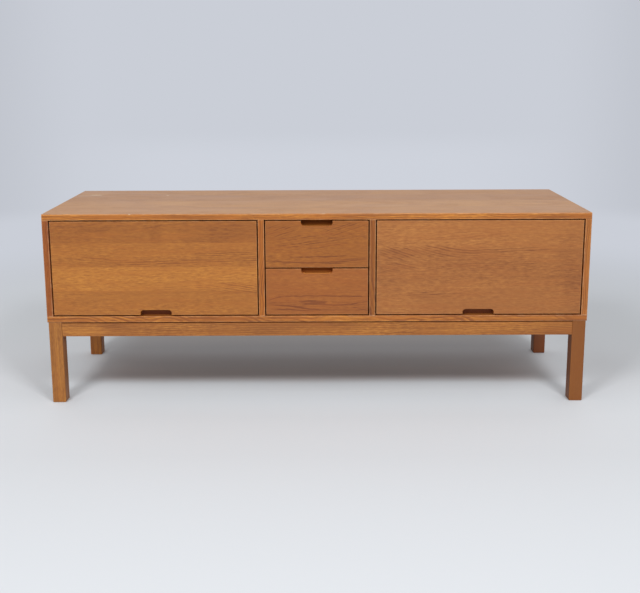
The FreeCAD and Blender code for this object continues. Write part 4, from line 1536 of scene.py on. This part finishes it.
@dataclass
class Interior(Sideboard):
    """Runners, shelves and their pins, door stops, and the fixed half of the doors' hardware."""

    pin_radius: float = 0.0025
    pin_length: float = 0.018
    pin_nose: float = 0.0006
    pin_taper: float = 0.0003
    collar_radius: float = 0.0042
    collar_thickness: float = 0.0007
    bush_radius: float = 0.005
    bush_length: float = 0.0115
    bush_taper: float = 0.0002
    bush_sides: int = 36
    flange_depth: float = 0.0015
    flange_radius: float = 0.0075
    flange_bevel: float = 0.0003
    bush_bore: tuple[float, float] = (0.00305, 0.010)
    nut_radius: float = 0.008
    nut_length: float = 0.006
    nut_bevel: tuple[float, float] = (0.0008, 0.0012)
    nut_sides: int = 48
    nut_flute: float = 0.07
    stud_radius: float = 0.00305
    through: float = 1.2

    def build(self) -> None:
        """Dresses what the bays hold and makes the small fittings."""
        for i, node in enumerate(("upper_left", "upper_right", "lower_left", "lower_right")):
            self.dress(f"{node}_runner", replace(BEECH, shift=1.3 * i), "beech")
        for side, shift in (("left", 3.0), ("right", 8.1)):
            self.dress(f"{side}_shelf", replace(OAK_SHELF, shift=shift), "oak_veneer")
            self.coat(f"{side}_stay_plate", self.metal(STEEL, "steel"), "steel")
        # Painted shade on the stops' front face, which is seen dark through the doors' grips
        front = Board.of("door_stops").low[1] + RIM_SKIN
        fingered = Zone(FINGERED, high=(None, front, None), share=0.95)
        self.dress("door_stops", replace(OAK_RAIL, shift=7.4, zones=(fingered,)), "oak_solid")
        self.screws("bay_screws", "interior_screws", WOOD_SCREW, 8)
        self.shelf_pins()
        self.bushes()
        self.nuts()

    def shelf_pins(self) -> None:
        """The brass pins under the shelves, each with a thin collar against the wall."""
        radius, length, wall = self.pin_radius, self.pin_length, self.pin_length / 2
        collar_front = wall - self.collar_thickness
        shape = Turned(
            {
                "End": (0.0, radius - self.pin_nose),
                "Nose": (self.pin_nose, radius),
                "Collar front": (collar_front, radius),
                "Collar edge": (collar_front + STEP, self.collar_radius),
                "Collar back": (wall - STEP, self.collar_radius),
                "Wall": (wall, radius),
                "Foot": (length, radius - self.pin_taper),
            }
        )
        brass = self.metal(BRASS, "brass")
        self.fit("collared_pins", "shelf_pins", "brass", shape, brass, 2, seat=self.pin_seat)

    @staticmethod
    def pin_seat(corners: np.ndarray) -> Seat:
        """The seat of a shelf pin, which looks to the middle of its own shelf."""
        side = "left" if corners[:, 0].mean() < 0 else "right"
        low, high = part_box(f"{side}_shelf")
        return seat_of(corners, (low + high) / 2)

    def bushes(self) -> None:
        """The flanged bushes that the doors' pins turn in."""
        depth, flange = self.flange_depth, self.flange_radius
        shape = Turned(
            {
                "Face": (0.0, flange - self.flange_bevel),
                "Rim": (self.flange_bevel, flange),
                "Flange back": (depth - STEP, flange),
                "Barrel": (depth, self.bush_radius),
                "Foot": (self.bush_length, self.bush_radius - self.bush_taper),
            },
            sides=self.bush_sides,
            bore=self.bush_bore,
        )
        bush = self.metal(BUSH, "bush")
        across = partial(seat_of, axis=0)
        self.fit("flanged_bushes", "door_pivot_bushes", "bush", shape, bush, 4, seat=across)

    def nuts(self) -> None:
        """The fluted friction nuts on the stays' studs."""
        radius, length = self.nut_radius, self.nut_length
        rise, inset = self.nut_bevel
        shape = Turned(
            {
                "Face": (0.0, radius - inset),
                "Bevel": (rise, radius),
                "Back bevel": (length - rise, radius),
                "Back": (length, radius - inset),
            },
            sides=self.nut_sides,
            flute=self.nut_flute,
            bore=(self.stud_radius, length * self.through),
        )
        inwards = partial(seat_of, towards=Vector((0, 0, 0)), axis=0)
        brass = self.metal(BRASS, "brass")
        self.fit("fluted_nuts", "stay_friction_nuts", "brass", shape, brass, 6, seat=inwards)


def rim_of(board: Board) -> Zone:
    """Painted shade on a front's cut edges: darker, redder and duller wood where they face the gaps.

    Args:
        board: the door or the drawer front.

    Returns:
        The zone between its two faces.
    """
    return Zone(
        RIM_BROWN,
        low=(None, board.low[1] + RIM_SKIN, None),
        high=(None, board.high[1] - RIM_REAR_SKIN, None),
        share=0.4,
        soft=0.0004,
        dull=2.1,
    )


@dataclass
class FlapDoor(Sideboard):
    """One lifting door with its pins, stay bracket and rivet, and the stay arm that it carries."""

    side: str = "left"
    wood: Wood = LEFT_DOOR
    rivet_radius: float = 0.0025
    rivet_head_radius: float = 0.004
    rivet_head_height: float = 0.0015
    dome_angles: tuple[float, ...] = (0.25, 0.65, 1.1, 1.5)

    def build(self) -> None:
        """Dresses the door and its stay, and makes the screws and the rivet."""
        side, body = self.side, f"{self.side}_door"
        panel = Board.of(f"{side}_door_panel")
        self.dress(f"{side}_door_panel", replace(self.wood, zones=(rim_of(panel),)), "oak_front")
        steel = self.metal(STEEL, "steel")
        self.coat(f"{side}_door_pivot_pins", self.metal(DARK_STEEL, "dark_steel"), "steel")
        self.coat(f"{side}_stay_bracket", steel, "steel")
        self.coat(f"{side}_stay_arm", steel, "steel")
        self.screws(f"{side}_foot_screws", f"{side}_bracket_screws", WOOD_SCREW, 7, body)
        self.rivet(body, steel)

    def rivet(self, body: str, steel: bpy.types.Material) -> None:
        """The stay's rivet, with a domed head at each end."""
        node = f"{self.side}_stay_rivet"
        low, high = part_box(node)
        length, head, tall = high[0] - low[0], self.rivet_head_radius, self.rivet_head_height
        dome = [(tall * (1 - math.cos(a)), head * math.sin(a)) for a in self.dome_angles]
        stations = {f"Dome {i}": place for i, place in enumerate(dome)}
        stations["Neck"] = (tall, self.rivet_radius)
        stations["Far neck"] = (length - tall, self.rivet_radius)
        for i, (depth, radius) in enumerate(reversed(dome)):
            stations[f"Far dome {i}"] = (length - depth, radius)
        right = partial(seat_of, towards=Vector((FAR, 0, 0)), axis=0)
        name = f"{self.side}_domed_rivet"
        self.fit(name, node, "steel", Turned(stations), steel, body=body, seat=right)


@dataclass
class Drawer(Sideboard):
    """One dovetailed drawer."""

    word: str = "upper"
    wood: Wood = UPPER_DRAWER
    shift: float = 0.0
    # A share on the colours of the recess's painted light and shade; lower under the top's overhang
    recess_tone: float = 1.0
    recess_height: float = 0.015
    recess_depth: float = 0.019
    recess_width: float = 0.100
    groove: float = 0.004
    lip: float = 0.003
    clean_height: float = 0.006
    sill_skin: float = 0.0006
    wall_skin: float = 0.0004

    def build(self) -> None:
        """Dresses the drawer's five pieces."""
        name = f"{self.word}_drawer"
        front = Board.of(f"{name}_front")
        zones = (rim_of(front), *self.recess(front))
        wide_beech = replace(BEECH, grain=Grain.WIDE_FRONT)
        flat_plywood = replace(PLYWOOD, grain=Grain.WIDE_FLAT, leaves=None)
        self.dress(f"{name}_front", replace(self.wood, zones=zones), "oak_front")
        for piece, wood, start, slot in (
            ("left_side", BEECH, 1.1, "beech"),
            ("right_side", BEECH, 2.9, "beech"),
            ("back", wide_beech, 4.2, "beech"),
            ("bottom", flat_plywood, 5.0, "back_board"),
        ):
            self.dress(f"{name}_{piece}", replace(wood, shift=self.shift + start), slot)

    def recess(self, front: Board) -> tuple[Zone, ...]:
        """The finger recess, with painted shade high on its wall and painted light low on it and on its
        sill.

        Args:
            front: the drawer front.

        Returns:
            The zones of its shaded wall, of the lit band low on it, and of its lit sill.
        """
        floor = front.high[2] - self.recess_height
        wall, deep = front.low[1] + self.groove, front.low[1] + self.recess_depth + self.wall_skin
        reach, skin = self.recess_width / 2, self.sill_skin
        handled, clean, sill = (
            tuple(part * self.recess_tone for part in colour) for colour in (HANDLED, CLEAN, SILL)
        )
        return (
            Zone(handled, (-reach, wall, floor), (reach, deep, None), 0.95),
            Zone(clean, (-reach, wall, floor), (reach, deep, floor + self.clean_height), 0.95, 0.0015),
            Zone(sill, (-reach, wall - self.lip, floor - skin), (reach, deep, floor + skin), 0.95),
        )


# The room it is seen in

@dataclass
class Studio:
    """A pale floor that fades into the room, soft lamps and the camera.

    The spans are where each change of tone begins and ends: in metres, or as a slant to the side.
    """

    eye: Triple = (0.0083, -2.6971, 0.998)
    yaw: float = -0.06
    pitch: float = 9.976
    roll: float = 0.19
    focal_pixels: float = 859.8
    centre_pixel: tuple[float, float] = (320.0, 216.8)
    left_lamp: Triple = (-1.5, -2.75, 3.0)
    right_lamp: Triple = (1.35, -2.75, 3.0)
    lamp_aim: Triple = (0.0, 0.0, 0.2)
    lamp_size: float = 0.85
    lamp_power: float = 51.5
    room: Colour = screen(202, 206, 215)
    room_light: float = 0.6
    room_sides: Span = (0.26, 0.42)
    room_side_loss: float = 0.11
    floor_reach: float = 40.0
    floor_drop: float = 0.0004
    floor_near: float = -1.0
    floor_span: float = 1.6
    floor_cloud: tuple[float, float] = (1.2, 0.05)
    aside: Span = (0.62, 0.85)
    right_end: tuple[Span, Span] = ((0.8, 1.0), (-0.2, 0.1))
    right_end_share: float = 0.86
    fade_middle: float = -0.6
    fade: Span = (1.6, 3.2)
    slant_starts: Span = (1.2, 3.5)
    hump_rise: Span = (1.8, 4.0)
    hump_fall: Span = (6.0, 11.0)
    hump_sides: Span = (0.15, 0.35)
    hump_gain: float = 0.05

    # The floor's paint, with painted light and shade laid into it
    PAINT = screen(222, 226, 231)
    WARM_DROPS = (0.0, 0.10, 0.135)
    # Its painted light and shade from near to far: the place, the share of the paint and how warm it is,
    # warmer where bounce light from the oak is painted under the cabinet
    NEAR = ((0.0, 0.92, 0.0), (0.25, 0.92, 0.0), (0.41, 0.98, 0.0))
    UNDER = (
        *NEAR,
        (0.49, 1.08, 0.0),
        (0.53, 1.13, 0.0),
        (0.555, 1.07, 0.0),
        (0.572, 0.99, 0.0),
        (0.59, 0.92, 0.5),
        (0.605, 0.83, 1.0),
        (0.63, 0.88, 1.0),
        (0.65, 0.91, 1.0),
        (0.68, 0.86, 0.8),
        (0.70, 0.82, 0.8),
        (0.76, 0.77, 0.65),
        (0.80, 0.70, 0.5),
        (1.0, 0.70, 0.5),
    )
    BESIDE = (*NEAR, (0.53, 0.98, 0.0), (0.617, 0.98, 0.0), (0.75, 0.96, 0.0), (1.0, 0.94, 0.0))

    def build(self) -> None:
        """Makes the camera, the lamps, the room's light and the floor."""
        self.camera()
        self.lamp("left_lamp", self.left_lamp)
        self.lamp("right_lamp", self.right_lamp)
        self.world()
        self.floor()

    def camera(self) -> None:
        """The camera, at the height and slant that the corners of the cabinet were seen from."""
        data = bpy.data.cameras.new("camera")
        data.sensor_width = SENSOR_WIDTH
        data.lens = self.focal_pixels / IMAGE_WIDTH * SENSOR_WIDTH
        data.shift_x = (IMAGE_WIDTH / 2 - self.centre_pixel[0]) / IMAGE_WIDTH
        data.shift_y = (self.centre_pixel[1] - IMAGE_HEIGHT / 2) / IMAGE_WIDTH
        camera = bpy.data.objects.new("camera", data)
        camera.location = self.eye
        camera.rotation_mode = "XYZ"
        camera.rotation_euler = [math.radians(turn) for turn in (90 - self.pitch, self.roll, self.yaw)]
        bpy.context.scene.collection.objects.link(camera)
        bpy.context.scene.camera = camera

    def lamp(self, name: str, place: Triple) -> None:
        """A square soft lamp that faces the cabinet.

        Args:
            name: its name.
            place: where it hangs.
        """
        data = bpy.data.lights.new(name, "AREA")
        data.shape = "SQUARE"
        data.size = self.lamp_size
        data.energy = self.lamp_power
        lamp = bpy.data.objects.new(name, data)
        lamp.location = place
        lamp.rotation_mode = "QUATERNION"
        lamp.rotation_quaternion = (Vector(self.lamp_aim) - Vector(place)).to_track_quat("-Z", "Y")
        bpy.context.scene.collection.objects.link(lamp)

    def world(self) -> None:
        """An even light all round, and the room's own colour where the camera or a gloss sees it."""
        world = bpy.data.worlds.new("room")
        bpy.context.scene.world = world
        world.use_nodes = True
        g = Graph(world.node_tree)
        g.tree.nodes.clear()
        path = g.add("ShaderNodeLightPath").outputs
        seen = Level(g, path["Is Camera Ray"]).most(Level(g, path["Is Glossy Ray"]))
        seen = seen.most(Level(g, path["Is Transmission Ray"]))
        light = g.add("ShaderNodeBackground", {"Color": (1.0, 1.0, 1.0, 1.0), "Strength": self.room_light})
        towards = g.add("ShaderNodeTexCoord").outputs["Generated"]
        way = g.add("ShaderNodeSeparateXYZ", {0: towards}).outputs
        glow = self.falling_off((Level(g, way[0]) / Level(g, way[1])).size())
        view = g.add("ShaderNodeBackground", {"Color": (*self.room, 1.0), "Strength": glow})
        mixed = g.add("ShaderNodeMixShader", {0: seen, 1: light.outputs[0], 2: view.outputs[0]})
        g.add("ShaderNodeOutputWorld", {0: mixed.outputs[0]})

    def falling_off(self, slant: Level) -> Level:
        """How bright the room is by how far to the side it lies: a little less at the sides."""
        return 1.0 - slant.rise(*self.room_sides) * self.room_side_loss

    def painted(self, share: float, warmth: float) -> Colour:
        """A share of the paint, which paints light and shade, with its green and blue drawn down by its
        warmth, which paints warm bounce light.
        """
        return shaded(self.PAINT, [share * (1.0 - drop * warmth) for drop in self.WARM_DROPS])

    def floor(self) -> None:
        """The floor, pale in front and fading into the room behind."""
        reach, low = self.floor_reach, -self.floor_drop
        mesh = bpy.data.meshes.new("floor")
        mesh.from_pydata(
            [(-reach, -reach, low), (reach, -reach, low), (reach, reach, low), (-reach, reach, low)],
            [],
            [(0, 1, 2, 3)],
        )
        floor = bpy.data.objects.new("floor", mesh)
        bpy.context.scene.collection.objects.link(floor)
        mesh.materials.append(self.floor_paint())

    def floor_paint(self) -> bpy.types.Material:
        """The floor's finish: painted light and shade in front, beside, under and behind the cabinet, and
        far off a painted glow of the room's colour.
        """
        s = Surface("floor_paint")
        waves, sway = self.floor_cloud
        cloud = s.noise(s.triple(s.x * waves, s.y * waves, 0.0), 3.0)
        depth = (s.y - self.floor_near) / self.floor_span + (cloud - 0.5) * sway
        under, beside = (
            s.tint(depth, [(place, self.painted(share, warmth)) for place, share, warmth in tones])
            for tones in (self.UNDER, self.BESIDE)
        )
        aside = s.x.size().rise(*self.aside)
        colour = s.add("ShaderNodeMix", {0: aside, 6: under, 7: beside}, data_type="RGBA").outputs[2]
        # Painted shade on the floor to the right of and behind the cabinet's right end
        right, back = self.right_end
        right_end = s.x.rise(*right) * s.y.rise(*back)
        colour = s.blend(right_end, colour, tuple(part * self.right_end_share for part in self.PAINT))
        paint = s.add("ShaderNodeBsdfDiffuse", {"Color": colour})
        behind = s.y - self.fade_middle
        fade = (s.x * s.x + behind * behind).root().rise(*self.fade)
        slant = (s.x / (s.y - self.eye[1])).size()
        far = self.falling_off(slant * s.y.rise(*self.slant_starts))
        hump = s.y.rise(*self.hump_rise) * (1.0 - s.y.rise(*self.hump_fall))
        hump = hump * (1.0 - slant.rise(*self.hump_sides)) * self.hump_gain + 1.0
        glow = s.add("ShaderNodeEmission", {"Color": (*self.room, 1.0), "Strength": far * hump})
        mixed = s.add("ShaderNodeMixShader", {0: fade, 1: paint.outputs[0], 2: glow.outputs[0]})
        s.add("ShaderNodeOutputMaterial", {0: mixed.outputs[0]})
        return s.material


def main() -> None:
    """Builds each sub-assembly round the frame, then the studio."""
    logging.basicConfig(level=logging.INFO, format="%(message)s")
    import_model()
    bpy.context.scene.view_settings.view_transform = "Standard"
    finishes: dict[str, bpy.types.Material] = {}
    assemblies = (
        Carcass(finishes),
        LegFrame(finishes),
        Interior(finishes),
        FlapDoor(finishes, "left", LEFT_DOOR),
        FlapDoor(finishes, "right", RIGHT_DOOR),
        Drawer(finishes, "upper", UPPER_DRAWER, recess_tone=0.6),
        Drawer(finishes, "lower", LOWER_DRAWER, shift=7.0),
    )
    for assembly in assemblies:
        assembly.build()
        log.info("%s done", type(assembly).__name__)
    Studio().build()


if __name__ == "__main__":
    main()
